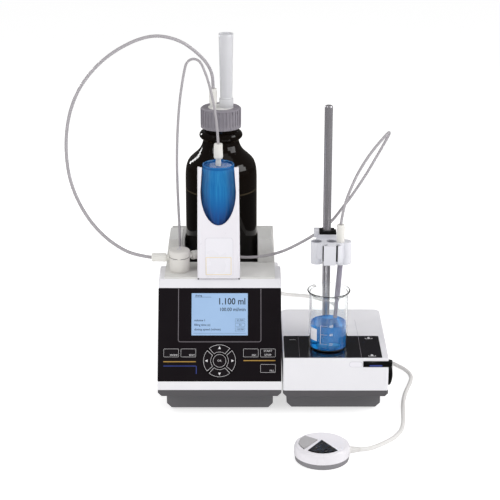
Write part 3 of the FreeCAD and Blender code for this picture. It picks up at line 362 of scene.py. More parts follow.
# the dosing tip: a cream holder, and a lilac-grey outlet below the clamp
TIP_CREAM = colour(233, 231, 226)
OUTLET_TOP, HOLDER_FOOT = 0.176, 0.179
made = Finish("tip_cream", TIP_CREAM, 0.4)
made.paint(made.mix(made.height(OUTLET_TOP, HOLDER_FOOT), colour(150, 146, 160), TIP_CREAM))
TIP = made.grain(0.4, 0.015).done()

# the cap has a coarser skin, and a blotchier tone
made = Finish("cap_grey", colour(140, 135, 143), 0.5)
made.mottle(8, 0.06).worn(6, 0.08).grain(0.7, 0.03)
CAP = made.done()

# dark amber glass: nearly black, and brown at the titrant's surface; where it is seen edge on, a
# painted brown glow of light through the glass
TITRANT_DEPTH, LINE_HALF = 0.1205, 0.0016
made = Finish("amber_glass", (0.004, 0.0025, 0.002), 0.08, Specular_IOR_Level=0.35)
rim = made.nodes.new("ShaderNodeLayerWeight")
rim.inputs["Blend"].default_value = 0.24
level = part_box("bottle")[0].z + TITRANT_DEPTH
above = made.height(level, level + 0.004)
line = made.ramp(made.height(level - LINE_HALF, level + LINE_HALF),
                 [(0, (0, 0, 0)), (0.5, (1, 1, 1)), (1, (0, 0, 0))])
body = made.mix(above, (0.0025, 0.0016, 0.0012), (0.005, 0.003, 0.002))
body = made.mix(made.spread(made.noise(25), 0, 0.3), body, (0.006, 0.004, 0.003))
body = made.mix(line, body, (0.05, 0.038, 0.022))
# painted light: the glass turns brown where it is seen edge on
made.paint(made.mix(made.spread(rim.outputs["Facing"], 0, 0.9, 0.45, 1.0), body,
                    (0.10, 0.072, 0.035)))
made.worn(20, 0.015).grain(9, 0.012)
AMBER = made.done()

# the blue sleeve: indigo at its foot, bright above, with painted shade at its sides and under its
# rim
low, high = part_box("uv_sleeve")
made = Finish("sleeve_blue", colour(48, 128, 200), 0.06, Transmission_Weight=0.25,
              IOR=1.45, Coat_Weight=0.25)
# the ramp's dark stop just below the top is painted shade under the rim
tint = made.ramp(made.height(low.z, high.z),
                 [(0, colour(44, 50, 104)), (0.36, colour(44, 60, 118)),
                  (0.46, colour(48, 96, 160)), (0.56, colour(44, 124, 192)),
                  (0.7, colour(48, 148, 212)), (0.97, colour(60, 156, 216)),
                  (0.985, colour(30, 92, 160)), (1, colour(54, 138, 204))])
streaks = made.spread(made.noise(2.4, 2, made.stretched(1, 1, 0.03)), 0, 0.7)
tint = made.mix(streaks, tint, colour(30, 108, 188))
# painted shade at the sleeve's sides, where it is seen edge on
side = made.nodes.new("ShaderNodeLayerWeight")
side.inputs["Blend"].default_value = 0.3
made.paint(made.mix(made.spread(side.outputs["Facing"], 0, 0.75, 0.3, 0.9), tint,
                    colour(30, 96, 170)))
made.worn(15, 0.03).grain(6, 0.02)
SLEEVE = made.done()

# the display, lit faintly from behind
made = Finish("display_glass", colour(150, 180, 216), 0.16, Coat_Weight=0.1)
made.shader.inputs["Emission Color"].default_value = (*colour(166, 194, 228), 1)
made.shader.inputs["Emission Strength"].default_value = 0.14
shade = made.spread(made.noise(30), 0, 0.5)
made.paint(made.mix(shade, colour(158, 187, 222), colour(148, 178, 214))).grain(0.35, 0.003)
DISPLAY = made.done()

# the blue sample, with a faint painted glow that brightens it
LIQUID = clear("sample_blue", colour(44, 172, 248), 0.03, 0.76, 1.33,
               Emission_Color=(*colour(0, 120, 216), 1), Emission_Strength=0.045)
DRYER = clear("dryer_milky", colour(238, 238, 241), 0.3, 0.35, 1.45)
TUBE = clear("tube_clear", colour(188, 184, 188), 0.2, 0.25, 1.38)

for obj in (suction, dosing, cylinder_line):
    obj.data.materials.clear()
    obj.data.materials.append(TUBE)
cable.data.materials.append(CABLE)

FINISHES = {
    "housing_shell": WHITE, "stirrer_housing": WHITE, "tower_cover": TOWER,
    "base_pan": BAND, "stirrer_pan": BAND, "base_foot": FOOT, "stirrer_foot": FOOT,
    "rubber_feet": RUBBER, "keypad_panel": PANEL, "display_module": DISPLAY,
    "keypad_board": BOARD, "rear_sockets": SOCKET, "housing_screws": STEEL,
    "drive_frame": STEEL, "spindle": ROD, "carriage": STEEL, "motors": MOTOR,
    "magnet_rotor": MOTOR, "piston": PTFE, "cylinder_head": CREAM, "cylinder_base": CREAM,
    "bottle_cradle": CRADLE, "uv_sleeve": SLEEVE, "glass_cylinder": GLASS, "beaker": GLASS,
    "valve_body": VALVE, "valve_plug": PTFE, "tube_fittings": CREAM, "bottle": AMBER,
    "cap_ring": CAP, "cap_insert": PTFE, "bottle_fitting": CREAM, "dip_tube": TUBE,
    "drying_tube": DRYER, "stirrer_plate": BLACK_GLASS, "speed_knob": BLACK,
    "stand_rod": ROD, "stir_bar": PTFE, "clamp_body": CLAMP, "clamp_button": BLACK,
    "dosing_tip": TIP, "hand_base": HAND_SIDE, "hand_top": HAND,
    "hand_key_front": HAND_BLACK, "hand_key_side": HAND_KEY, "hand_plug": CABLE,
}
for name in NODES:
    if name.startswith("key_"):
        FINISHES[name] = KEY

# edges that a mould leaves soft: node and radius in millimetres
SOFT = {
    "housing_shell": 1.0, "stirrer_housing": 0.5, "tower_cover": 0.6, "base_foot": 0.9,
    "stirrer_foot": 0.9, "base_pan": 0.5, "stirrer_pan": 0.5, "bottle_cradle": 1.2,
    "clamp_body": 0.5, "valve_body": 0.3, "hand_key_side": 0.3, "keypad_panel": 0.25,
    "cap_ring": 0.25, "carriage": 0.4, "drive_frame": 0.4, "motors": 0.4,
}


def soften(obj, width):
    """Rounds a node's sharp edges without touching its mesh."""
    weld = obj.modifiers.new("weld", "WELD")
    weld.merge_threshold = 2e-6
    bevel = obj.modifiers.new("soft_edges", "BEVEL")
    bevel.width = width * MM
    bevel.segments = 2
    bevel.limit_method = "ANGLE"
    bevel.angle_limit = math.radians(42)
    bevel.harden_normals = True
    bevel.miter_outer = "MITER_ARC"


for name, finish in FINISHES.items():
    for entry in NODES[name].material_slots:
        entry.material = finish
for name, width in SOFT.items():
    soften(NODES[name], width)


# ---------------------------------------------------------------- shapes

def rounded(left, right, low, high, radius, steps=6):
    """A closed loop: a rectangle with round corners."""
    loop = []
    corners = ((right - radius, high - radius, 0), (left + radius, high - radius, 90),
               (left + radius, low + radius, 180), (right - radius, low + radius, 270))
    for x, y, start in corners:
        for i in range(steps + 1):
            angle = math.radians(start + 90 * i / steps)
            loop.append((x + radius * math.cos(angle), y + radius * math.sin(angle)))
    return loop


def border(left, right, low, high, radius, width):
    """The two loops of a frame around a rectangle."""
    return [rounded(left, right, low, high, radius),
            rounded(left + width, right - width, low + width, high - width,
                    max(0.05, radius - width))]


def arc(x, y, radius, start, end, steps=24):
    """Points along an arc, from one angle to another in degrees."""
    angles = [math.radians(start + (end - start) * i / steps) for i in range(steps + 1)]
    return [(x + radius * math.cos(a), y + radius * math.sin(a)) for a in angles]


def stroke(points, width):
    """The loop around an open line."""
    left, right = [], []
    for i, point in enumerate(points):
        before = Vector(points[max(0, i - 1)])
        after = Vector(points[min(len(points) - 1, i + 1)])
        along = (after - before).normalized() * width / 2
        left.append((point[0] - along.y, point[1] + along.x))
        right.append((point[0] + along.y, point[1] - along.x))
    return left + right[::-1]


def flat(loops, thick=0.1):
    """A plate, half of it to each side of its plane; inner loops are holes. Millimetres."""
    data = bpy.data.curves.new("flat", "CURVE")
    data.dimensions = "2D"
    data.fill_mode = "BOTH"
    data.extrude = thick * MM / 2
    for loop in loops:
        spline = data.splines.new("POLY")
        spline.points.add(len(loop) - 1)
        for point, (across, up) in zip(spline.points, loop):
            point.co = (across * MM, up * MM, 0, 1)
        spline.use_cyclic_u = True
    obj = link("flat", data)
    mesh = evaluated(obj)
    remove(obj)
    return mesh


def words(text, size, x, y, align="CENTER", thick=0.08, squeeze=1.0, bold=0.0):
    """Generic lettering as a thin mesh, in millimetres; bold widens the strokes."""
    data = bpy.data.curves.new("words", "FONT")
    data.body = text
    data.size = size * MM
    data.extrude = thick * MM / 2
    data.offset = bold * MM
    data.align_x = align
    data.align_y = "CENTER"
    data.resolution_u = 3
    obj = link("words", data)
    mesh = evaluated(obj)
    remove(obj)
    mesh.transform(Matrix.Translation((x * MM, y * MM, 0)) @ Matrix.Diagonal((squeeze, 1, 1, 1)))
    return mesh


def spun(profile, steps=48, closed=True):
    """A profile of (radius, height) turned about Z. Millimetres."""
    shape = bmesh.new()
    rings = []
    for i in range(steps):
        angle = 2 * math.pi * i / steps
        ring = [shape.verts.new((r * math.cos(angle) * MM, r * math.sin(angle) * MM, z * MM))
                for r, z in profile]
        rings.append(ring)
    count = len(profile)
    for i in range(steps):
        one, two = rings[i], rings[(i + 1) % steps]
        for j in range(count if closed else count - 1):
            k = (j + 1) % count
            shape.faces.new((one[j], two[j], two[k], one[k]))
    bmesh.ops.remove_doubles(shape, verts=shape.verts, dist=1e-7)
    bmesh.ops.recalc_face_normals(shape, faces=shape.faces)
    mesh = bpy.data.meshes.new("spun")
    shape.to_mesh(mesh)
    shape.free()
    return mesh


def block(left, right, front, back, low, high):
    """A small box of a larger piece, in millimetres."""
    shape = bmesh.new()
    bmesh.ops.create_cube(shape, size=1)
    size = Vector((right - left, back - front, high - low)) * MM
    middle = Vector((right + left, back + front, high + low)) * MM / 2
    shape.transform(Matrix.Translation(middle) @ Matrix.Diagonal((*size, 1)))
    mesh = bpy.data.meshes.new("block")
    shape.to_mesh(mesh)
    shape.free()
    return mesh


def piece(name, meshes, matrix, body, material, smooth=False):
    """One visible piece from several meshes, riding on a body."""
    joined = bmesh.new()
    for mesh in meshes:
        joined.from_mesh(mesh)
        bpy.data.meshes.remove(mesh)
    joined.transform(matrix)
    bmesh.ops.remove_doubles(joined, verts=joined.verts, dist=1e-7)
    data = bpy.data.meshes.new(name)
    joined.to_mesh(data)
    joined.free()
    data.materials.append(material)
    if smooth:
        data.shade_smooth()
        data.set_sharp_from_angle(angle=math.radians(35))
    obj = link(name, data)
    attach(obj, body)
    return obj


def plane_at(origin, across, up):
    """The matrix of a flat drawing: across, up, and outwards."""
    across, up = Vector(across).normalized(), Vector(up).normalized()
    out = across.cross(up)
    made = Matrix.Identity(4)
    for i, column in enumerate((across, up, out, Vector(origin))):
        for j in range(3):
            made[j][i] = column[j]
    return made


def plan(z):
    """A drawing seen from above, in the housing's own millimetres, at a height in metres."""
    return plane_at((-ORIGIN.x, -ORIGIN.y, z), (1, 0, 0), (0, 1, 0))


# how far print stands off its surface, and how thick it is, in millimetres
PRINT, INK_THICK, KEY_INK_THICK = 0.02, 0.05, 0.06

# ---------------------------------------------------------------- keypad

low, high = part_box("keypad_panel")
TILT = math.radians(30)
PANEL_SKIN = 0.003  # the panel's thickness
slope = plane_at(((low.x + high.x) / 2, low.y, low.z + PANEL_SKIN * math.sin(TILT)),
                 (1, 0, 0), (0, math.sin(TILT), math.cos(TILT)))
slope_inverse = slope.inverted()


def spans(node):
    """How far a node reaches across, up and out of the sloped panel, in millimetres."""
    points = [slope_inverse @ v.co / MM for v in NODES[node].data.vertices]
    return [(min(p[i] for p in points), max(p[i] for p in points)) for i in range(3)]


def raised(height):
    """The panel's plane, some millimetres further out."""
    return slope @ Matrix.Translation((0, 0, height * MM))


# the frame line around the display is open at its top
U_HALF, U_LOW, U_TOP, U_CORNER = 51.3, 49.3, 116.2, 2.6
bend_left = arc(-U_HALF + U_CORNER, U_LOW + U_CORNER, U_CORNER, 180, 270, 8)
bend_right = arc(U_HALF - U_CORNER, U_LOW + U_CORNER, U_CORNER, 270, 360, 8)
u_line = [(-U_HALF, U_TOP)] + bend_left + bend_right + [(U_HALF, U_TOP)]
piece("keypad_frame_line", [flat([stroke(u_line, 0.8)])], raised(0.03), "base", LINE)
piece("keypad_ochre_lines", [flat([rounded(-69.6, -29.3, 24.0, 25.1, 0.3)]),
                             flat([rounded(29.6, 69.2, 25.4, 26.5, 0.3)])],
      raised(0.03), "base", OCHRE)
piece("keypad_blue_line", [flat([stroke([(-69.4, 19.2), (-29.5, 19.2), (-28.9, 19.0),
                                         (-28.7, 18.4), (-28.7, 9.4)], 0.9)])],
      raised(0.03), "base", BLUE)

# each key's words: text, size, and place across and up as a share of the key
LEGENDS = {
    "mode": [("MODE", 3.0, 0.42, -0.26)], "edit": [("EDIT", 3.0, 0.42, -0.26)],
    "escape": [("ESC", 3.0, 0.36, -0.26)], "fill": [("FILL", 3.0, 0.40, -0.26)],
    "start": [("START", 3.2, 0, 0.22), ("STOP", 3.2, 0, -0.24)],
}
KEY_INSET, KEY_LINE, LETTER_WIDTH = 0.25, 0.28, 1.12
for name, texts in LEGENDS.items():
    (left, right), (bottom, top), (_, face) = spans("key_" + name)
    middle, rise = (left + right) / 2, (bottom + top) / 2
    meshes = [flat(border(left + KEY_INSET, right - KEY_INSET, bottom + KEY_INSET,
                          top - KEY_INSET, 1.1, KEY_LINE), KEY_INK_THICK)]
    for text, size, across, up in texts:
        x = middle + across * (right - left)
        y = rise + up * (top - bottom)
        meshes.append(words(text, size, x, y, "RIGHT" if across else "CENTER",
                            KEY_INK_THICK, LETTER_WIDTH))
    piece("key_%s_print" % name, meshes, raised(face + PRINT), "key_" + name, LEGEND)

(left, right), (bottom, top), (_, face) = spans("key_ok")
ring_x, ring_y = (left + right) / 2, (bottom + top) / 2
ok_radius = (right - left) / 2
meshes = [flat([arc(ring_x, ring_y, ok_radius - 0.3, 0, 352, 44),
                arc(ring_x, ring_y, ok_radius - 0.65, 0, 352, 44)], KEY_INK_THICK),
          words("OK", 3.2, ring_x, ring_y, "CENTER", KEY_INK_THICK, LETTER_WIDTH)]
piece("key_ok_print", meshes, raised(face + PRINT), "key_ok", LEGEND)

ring_radius = spans("key_right")[0][1] - ring_x
RING_INNER = 10.4
QUARTER_HALF = 40.4  # half the angle that one arrow key takes up
for name, turn in (("right", 0), ("up", 90), ("left", 180), ("down", 270)):
    outer_loop = (arc(0, 0, ring_radius - 0.35, -QUARTER_HALF, QUARTER_HALF)
                  + arc(0, 0, RING_INNER + 0.4, QUARTER_HALF - 1.2, -QUARTER_HALF + 1.2))
    inner_loop = (arc(0, 0, ring_radius - 0.7, -QUARTER_HALF + 1.3, QUARTER_HALF - 1.3)
                  + arc(0, 0, RING_INNER + 0.75, QUARTER_HALF - 3.3, -QUARTER_HALF + 3.3))
    peak = (ring_radius + RING_INNER) / 2 + 1.0
    arrow = [(peak + 1.7, 0), (peak - 1.7, 1.7), (peak - 1.7, -1.7)]
    shift = (Matrix.Translation((ring_x * MM, ring_y * MM, 0))
             @ Matrix.Rotation(math.radians(turn), 4, "Z"))
    meshes = [flat([outer_loop, inner_loop], KEY_INK_THICK), flat([arrow], KEY_INK_THICK)]
    piece("key_%s_print" % name, meshes, raised(face + PRINT) @ shift, "key_" + name, LEGEND)

# --------------------------------------------------------------- display

(left, right), (bottom, top), (_, face) = spans("display_module")
ink = [words("1.100 ml", 11.4, right - 2.6, top - 10.6, "RIGHT", INK_THICK, 0.88, 0.14),
       words("100.00 ml/min", 6.2, right - 2.6, top - 20.6, "RIGHT", INK_THICK, 0.92, 0.06)]
piece("display_figures", ink, raised(face + PRINT), "base", INK)
faded = [words("dosing", 3.2, left + 4.5, top - 3.0, "LEFT", INK_THICK, 1.0, 0.05),
         flat([rounded(left + 4.2, left + 24.5, top - 5.1, top - 4.75, 0.1)], INK_THICK)]
ROW_TOP, ROW_STEP = 34.2, 5.7
for i, (caption, figure) in enumerate((("volume 1", "20.000"), ("filling time (s)", "30"),
                                       ("dosing speed (ml/min)", "100.00"))):
    row = top - ROW_TOP - i * ROW_STEP
    faded.append(words(caption, 3.7, left + 3.4, row, "LEFT", INK_THICK, 1.0, 0.05))
    faded.append(words(figure, 3.3, right - 9.6, row, "CENTER", INK_THICK))
    faded.append(flat(border(right - 15.6, right - 3.6, row - 2.2, row + 2.2, 0.3, 0.22),
                      INK_THICK))
faded.append(flat([rounded(left + 2.5, right - 2.5, bottom + 2.6, bottom + 2.85, 0.1)],
                  INK_THICK))
piece("display_rows", faded, raised(face + PRINT), "base", FADED)

# ----------------------------------------------------------------- tower

low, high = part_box("tower_cover")
front = plane_at(((low.x + high.x) / 2, low.y, low.z), (1, 0, 0), UP)


def on_front(height):
    """The tower's front, some millimetres further out."""
    return front @ Matrix.Translation((0, 0, height * MM))


def label_loop(inset):
    """The label's outline, drawn in by a margin."""
    return rounded(-16.7 + inset, 18.0 - inset, 4.4 + inset, 54.8 - inset, 4 - inset)


piece("tower_label", [flat([label_loop(0.3)], 0.16)], on_front(0.05), "base", LABEL)
# painted shade along the raised label's edge
piece("tower_label_edge", [flat([label_loop(0), label_loop(0.3)], 0.12)], on_front(0.04),
      "base", EDGE_SHADE)
piece("tower_label_box", [flat(border(-16.0, 15.8, 6.2, 29.5, 1.0, 0.7), 0.1)],
      on_front(0.12), "base", PALE)
# a slot at the tower's foot, drawn as a line of painted shade with round ends
SLOT_HALF = 25.4
meshes = [flat([rounded(-SLOT_HALF, SLOT_HALF, 0.5, 1.1, 0.25)], 0.1)]
for side in (-SLOT_HALF, SLOT_HALF):
    meshes.append(flat([arc(side, 0.9, 1.1, 0, 345, 23)], 0.12))
piece("tower_slot", meshes, on_front(0.03), "base", SHADE)

# the light-protection sleeve's rolled upper rim: steps out from its radius and up from its top
SLEEVE_RADIUS = 19.6
low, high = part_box("uv_sleeve")
sleeve_axis = Matrix.Translation(((low.x + high.x) / 2, (low.y + high.y) / 2, 0))
ROLL = ((-1.7, 0), (-1.5, 0.5), (-0.7, 0.8), (0.05, 0.5), (0.15, -0.4), (-0.2, -0.9), (-1.5, -0.5))
rim = [(SLEEVE_RADIUS + out, high.z / MM + up) for out, up in ROLL]
piece("sleeve_rim", [spun(rim, 72)], sleeve_axis, "base", SLEEVE, True)

# ----------------------------------------------------------------- valve

low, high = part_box("valve_body")
valve_axis = Matrix.Translation(((low.x + high.x) / 2, (low.y + high.y) / 2, low.z))
# a seam in four parts around the valve, above the ports, drawn as a band of painted shade
VALVE_RADIUS, SEAM_HEIGHT, CAP_HEIGHT = 12.25, 18.35, 28.05
meshes = []
for start in (8, 98, 188, 278):
    ring = [(VALVE_RADIUS * math.cos(math.radians(a)), VALVE_RADIUS * math.sin(math.radians(a)))
            for a in range(start, start + 75, 3)]
    inner = [(x * 0.985, y * 0.985) for x, y in ring[::-1]]
    meshes.append(flat([ring + inner], 0.62))
seam = valve_axis @ Matrix.Translation((0, 0, SEAM_HEIGHT * MM))
piece("valve_seam", meshes, seam, "base", SHADE)
# a low thumb ridge and a position mark on the valve's cap, both drawn in painted shade
cap_top = valve_axis @ Matrix.Translation((0, 0, CAP_HEIGHT * MM))
piece("valve_mark", [flat([rounded(-1, 1, 4, 10, 0.8)], 0.4),
                     flat([arc(0, 0, 3.0, 0, 350, 35), arc(0, 0, 2.3, 0, 350, 35)], 0.35)],
      cap_top, "base", EDGE_SHADE)


# --------------------------------------------------------------- fittings

def ribs(radius, length, count=18, wide=0.7, proud=0.35):
    """Knurling around a barrel that stands on Z."""
    meshes = []
    for i in range(count):
        mesh = block(radius - 0.3, radius + proud, -wide / 2, wide / 2, 0, length)
        mesh.transform(Matrix.Rotation(2 * math.pi * i / count, 4, "Z"))
        meshes.append(mesh)
    return meshes


def turned(place, axis, angle):
    """The matrix of a fitting at a place, turned about one axis."""
    return Matrix.Translation(at(*place)) @ Matrix.Rotation(math.radians(angle), 4, axis)


# the union nuts: two at the valve's ports, one on the cylinder's head
BARREL_START, BARREL, BARREL_RADIUS = 6.2, 14.5, 5.0
VALVE_X, VALVE_Y, PORT_Z, PORT_REACH, SWING = -51.0, 89, 175.8, 12.7, 28
swing = math.radians(SWING)
knurled = [
    turned((VALVE_X - PORT_REACH, VALVE_Y, PORT_Z), "Y", -90),
    turned((-1.3, 87.5, 302), "Z", 0),
    turned((VALVE_X + PORT_REACH * math.cos(swing), VALVE_Y + PORT_REACH * math.sin(swing),
            PORT_Z), "Z", SWING)
    @ Matrix.Rotation(math.radians(90), 4, "Y"),
]
meshes = []
for matrix in knurled:
    for mesh in ribs(BARREL_RADIUS, BARREL, 20):
        mesh.transform(matrix @ Matrix.Translation((0, 0, BARREL_START * MM)))
        meshes.append(mesh)
piece("union_knurling", meshes, Matrix.Identity(4), "base", CREAM)

low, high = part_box("bottle_fitting")
stand = Matrix.Translation(((low.x + high.x) / 2, (low.y + high.y) / 2, low.z + 0.003))
piece("bottle_fitting_knurling", ribs(4.85, 13, 18, 0.6, 0.3), stand, "bottle_set", CREAM)

# ----------------------------------------------------------------- clamp

# seven grip ribs on the release button
low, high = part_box("clamp_button")
RIB_START, RIB_STEP, RIB_WIDTH = -6.5, 2, 0.8
grips = []
for i in range(7):
    start = RIB_START + i * RIB_STEP
    grips.append(block(start, start + RIB_WIDTH, -0.25, 0.2, 0.7, 3.4))
piece("clamp_button_grip", grips, Matrix.Translation(((low.x + high.x) / 2, low.y, low.z)),
      "clamp_button", BLACK)

# the clamp's clips and bores: their places beside the rod, and the radii of their walls
rod = at(133.5, 80, 0)
CLIPS = ((-2.9, -32.3, 3.35), (11.8, -32.8, 3.55))
BORES = ((-13.1, -17.5, 6.05), (5, -17.5, 5.4))
CLIP_SHADE_LOW, CLIP_SHADE_HIGH, SHADE_LOW, CLAMP_TOP = 186, 204.5, 188, 206.5


def short_tube(x, y, inner, outer, low, high, steps):
    """A short upright tube beside the rod."""
    mesh = spun([(inner, low), (outer, low), (outer, high), (inner, high)], steps)
    mesh.transform(Matrix.Translation((x * MM, y * MM, 0)))
    return mesh


# dark sheets of painted shade inside the clips, seen through their mouths
clip_shades = [short_tube(x, y, radius - 0.4, radius - 0.02, CLIP_SHADE_LOW, CLIP_SHADE_HIGH, 32)
           for x, y, radius in CLIPS]
piece("clamp_clip_shade", clip_shades, Matrix.Translation(rod), "clamp", BLACK, True)
# a ring of painted shade around each bore's edge, and painted shade inside the bore
rims = [short_tube(x, y, radius + 0.05, radius + 0.75, CLAMP_TOP - 0.2, CLAMP_TOP + 0.12, 40)
        for x, y, radius in BORES]
shades = [short_tube(x, y, radius - 0.3, radius - 0.02, SHADE_LOW, CLAMP_TOP - 0.4, 40)
          for x, y, radius in BORES]
piece("clamp_bore_rims", rims, Matrix.Translation(rod), "clamp", BORE_SHADE, True)
piece("clamp_bore_shades", shades, Matrix.Translation(rod), "clamp", BORE_SHADE, True)

# --------------------------------------------------------------- stirrer

low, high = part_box("stirrer_plate")
top = plan(high.z)


def on_top(height):
    """The glass plate's top, some millimetres further up."""
    return top @ Matrix.Translation((0, 0, height * MM))


# printed marks on the glass: two drop-on-base icons, a short dash, and two long lines
icons = []
for x, y in ((187.6, 63.6), (188.2, 7.4)):
    icons.append(flat([rounded(x - 4.7, x + 4.7, y - 1.6, y - 0.9, 0.3)]))
    for side in (-1, 1):
        icons.append(flat([stroke([(x + side * 4.2, y - 1.2), (x + side * 4.2, y + 1.6)], 0.7)]))
    icons.append(flat([arc(x, y + 1.6, 1.9, 0, 340, 20)]))
    icons.append(flat([[(x - 1.3, y + 2.8), (x + 1.3, y + 2.8), (x, y + 5.6)]]))
icons.append(flat([rounded(87.3, 95.5, 59.1, 59.7, 0.25)]))
piece("plate_marks", icons, on_top(PRINT), "base", LEGEND)
piece("plate_line", [flat([rounded(174.6, 175.1, 3.2, 71.6, 0.2)]),
                     flat([rounded(98.6, 98.9, 4.2, 68.0, 0.12)])],
      on_top(PRINT), "base", LINE)
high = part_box("stirrer_housing")[1]
# a groove over the stirrer housing's top, drawn as a line of painted shade
groove = [stroke([(174.9, 74.5), (173.8, 128)], 0.6)]
piece("stirrer_groove", [flat(groove)],
      plan(high.z + 0.00003), "base", EDGE_SHADE)

# the black inlay that wraps the front right corner, with its blue light, and a pale key
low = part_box("stirrer_housing")[0]
face = plane_at((-ORIGIN.x, low.y, 0), (1, 0, 0), UP)
INLAY_LOW, INLAY_HIGH = 64.2, 71.9
bend = arc(209.6, 2.9, 3.4, -75, 0, 5)
brow = [(177.0, -0.5), (209.6, -0.5), *bend, (213.0, 3.4), (211.8, 5.0), (208.4, 6.0),
        (208.4, 1.0), (177.0, 1.0)]
piece("stirrer_inlay", [flat([brow], INLAY_HIGH - INLAY_LOW)],
      plan((INLAY_LOW + INLAY_HIGH) / 2 * MM), "base", BLACK)
piece("stirrer_light", [flat([rounded(184.6, 200.6, 65.0, 66.9, 0.8)], 0.3)],
      face @ Matrix.Translation((0, 0, 0.0004)), "base", BLUE)
key_loop = rounded(160.2, 175.6, 64.4, 70.8, 3.1)
piece("stirrer_key", [flat([key_loop], 0.3)],
      face @ Matrix.Translation((0, 0, 0.0001)), "base", LABEL)
# painted shade around the raised key's edge
piece("stirrer_key_edge", [flat([rounded(159.8, 176.0, 64.0, 71.2, 3.5), key_loop], 0.25)],
      face @ Matrix.Translation((0, 0, 0.00005)), "base", EDGE_SHADE)

# grip grooves and a pointer on the speed knob, which turns about X
low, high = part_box("speed_knob")
hub = ((low.y + high.y) / 2, (low.z + high.z) / 2)
knob = Matrix.Translation((high.x - 0.0061, *hub)) @ Matrix.Rotation(math.radians(90), 4, "Y")
meshes = ribs(14.35, 2.0, 48, 0.7, 0.25)
piece("speed_knob_grip", meshes, knob, "speed_knob", BLACK)
pointer = block(-11.4, -7.2, -0.5, 0.5, 4.5, 5.6)
pointer.transform(Matrix.Rotation(math.radians(20), 4, "Z"))
piece("speed_knob_pointer", [pointer], knob, "speed_knob", LEGEND)

# a dark skirt of painted shade under each foot: it closes the gap that the rubber pads leave above
# the floor, where a line of shadow lies
SHADE_SKIRT_INSET, SHADE_SKIRT_LOW = 5.5, 0.4
for node in ("base_foot", "stirrer_foot"):
    low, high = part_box(node)
    shade_skirt = border(low.x / MM + SHADE_SKIRT_INSET, high.x / MM - SHADE_SKIRT_INSET,
                   low.y / MM + SHADE_SKIRT_INSET, high.y / MM - SHADE_SKIRT_INSET, 4, 2.2)
    piece(node + "_edge", [flat(shade_skirt, low.z / MM - SHADE_SKIRT_LOW)],
          plane_at((0, 0, (low.z + SHADE_SKIRT_LOW * MM) / 2), (1, 0, 0), (0, 1, 0)), "base", RUBBER)

# ---------------------------------------------------------------- beaker

low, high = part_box("beaker")
beaker_axis = Matrix.Translation(((low.x + high.x) / 2, (low.y + high.y) / 2, low.z))
# the liquid's level above the beaker's foot, and the radius at which the scale is printed
LEVEL, SCALE_RADIUS = 33.1, 24.05
liquid = [(0, 2.1), (20.8, 2.3), (22.1, 4.2), (22.15, LEVEL + 0.9), (21.4, LEVEL + 0.25),
          (19.5, LEVEL), (0, LEVEL)]
piece("beaker_liquid", [spun(liquid, 64, False)], beaker_axis, "base", LIQUID,
      True)


def wrapped(mesh):
    """Bends a flat mesh around the beaker: its x becomes the way round."""
    for v in mesh.vertices:
        angle = v.co.x / (SCALE_RADIUS * MM) - math.pi / 2
        out = SCALE_RADIUS * MM + v.co.z
        v.co = (out * math.cos(angle), out * math.sin(angle), v.co.y)
    return mesh


def bar(x, z, long, thick=0.5):
    """A short line around the beaker, in pieces small enough to bend."""
    steps = max(2, int(long / 1.5))
    upper = [(x + long * i / steps, z + thick / 2) for i in range(steps + 1)]
    lower = [(px, pz - thick) for px, pz in upper[::-1]]
    return wrapped(flat([upper + lower], INK_THICK))


MARK_LEFT, TICK = -10.9, 8.4
upright = rounded(MARK_LEFT - 0.25, MARK_LEFT + 0.25, 12.4, 36.9, 0.1)
marks = [wrapped(flat([upright], INK_THICK))]
for figure, rise in (("60", 36.7), ("40", 25.1), ("20", 12.6)):
    marks.append(bar(MARK_LEFT, rise, TICK))
    marks.append(wrapped(words(figure, 4.6, 2.4, rise, "CENTER", INK_THICK)))
piece("beaker_scale", marks, beaker_axis, "base", LEGEND)
# a white field to write on, in strips narrow enough to bend
patch = [flat([rounded(-28.0 + 2.4 * i, -25.6 + 2.4 * i, 15.2, 31.0, 0.05)], INK_THICK)
         for i in range(5)]
piece("beaker_patch", [wrapped(mesh) for mesh in patch], beaker_axis, "base", LABEL)

# ----------------------------------------------------------- hand controller

# a tapered strain relief where the cable enters, ringed like a real one
end, before = at(*CABLE_ROUTE[-1]), at(*CABLE_ROUTE[-2])
heading = (before - end).normalized()
lean = UP.rotation_difference(heading).to_matrix().to_4x4()
relief = [(2.75, -4), (4.6, -4), (4.6, 3.4)]
for i in range(5):
    step = 3.4 + i * 2.6
    size = 4.5 - i * 0.3
    relief += [(size, step), (size, step + 1.6), (size - 0.55, step + 1.7),
               (size - 0.55, step + 2.5)]
relief += [(2.95, 16.6), (2.75, 16.8)]
piece("hand_cable_relief", [spun(relief, 40)], Matrix.Translation(end) @ lean, "base", CABLE,
      True)
low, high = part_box("hand_base")
seam_axis = Matrix.Translation(((low.x + high.x) / 2, (low.y + high.y) / 2, high.z))
# the seam between the hand controller's base and top, drawn as a ring of painted shade
piece("hand_seam", [spun([(32.0, -0.25), (32.55, -0.25), (32.55, 0.1), (32.0, 0.1)], 96)],
      seam_axis, "base", SHADE, True)

# ------------------------------------------------------------------ rear

# contacts in the sockets: one pin, five in a ring, and a row of nine
PIN_DEPTH, RING_X, RING_Z, RING_PITCH = 6.5, 22, 65, 2.4
meshes = [block(-52.9, -51.1, 289.0, 296.5, 65.1, 66.9)]
for i in range(5):
    angle = math.radians(90 + 72 * i)
    across = RING_X + RING_PITCH * math.cos(angle)
    up = RING_Z + RING_PITCH * math.sin(angle)
    meshes.append(block(across - 0.5, across + 0.5, 289.2, 289.2 + PIN_DEPTH,
                        up - 0.5, up + 0.5))
for i in range(9):
    x = -28.5 + i * 2.6
    meshes.append(block(x - 0.6, x + 0.6, 290.2, 294.2, 63.0, 63.5))
piece("socket_pins", meshes, Matrix.Translation(-ORIGIN), "base", STEEL)

# ----------------------------------------------------------- floor and light

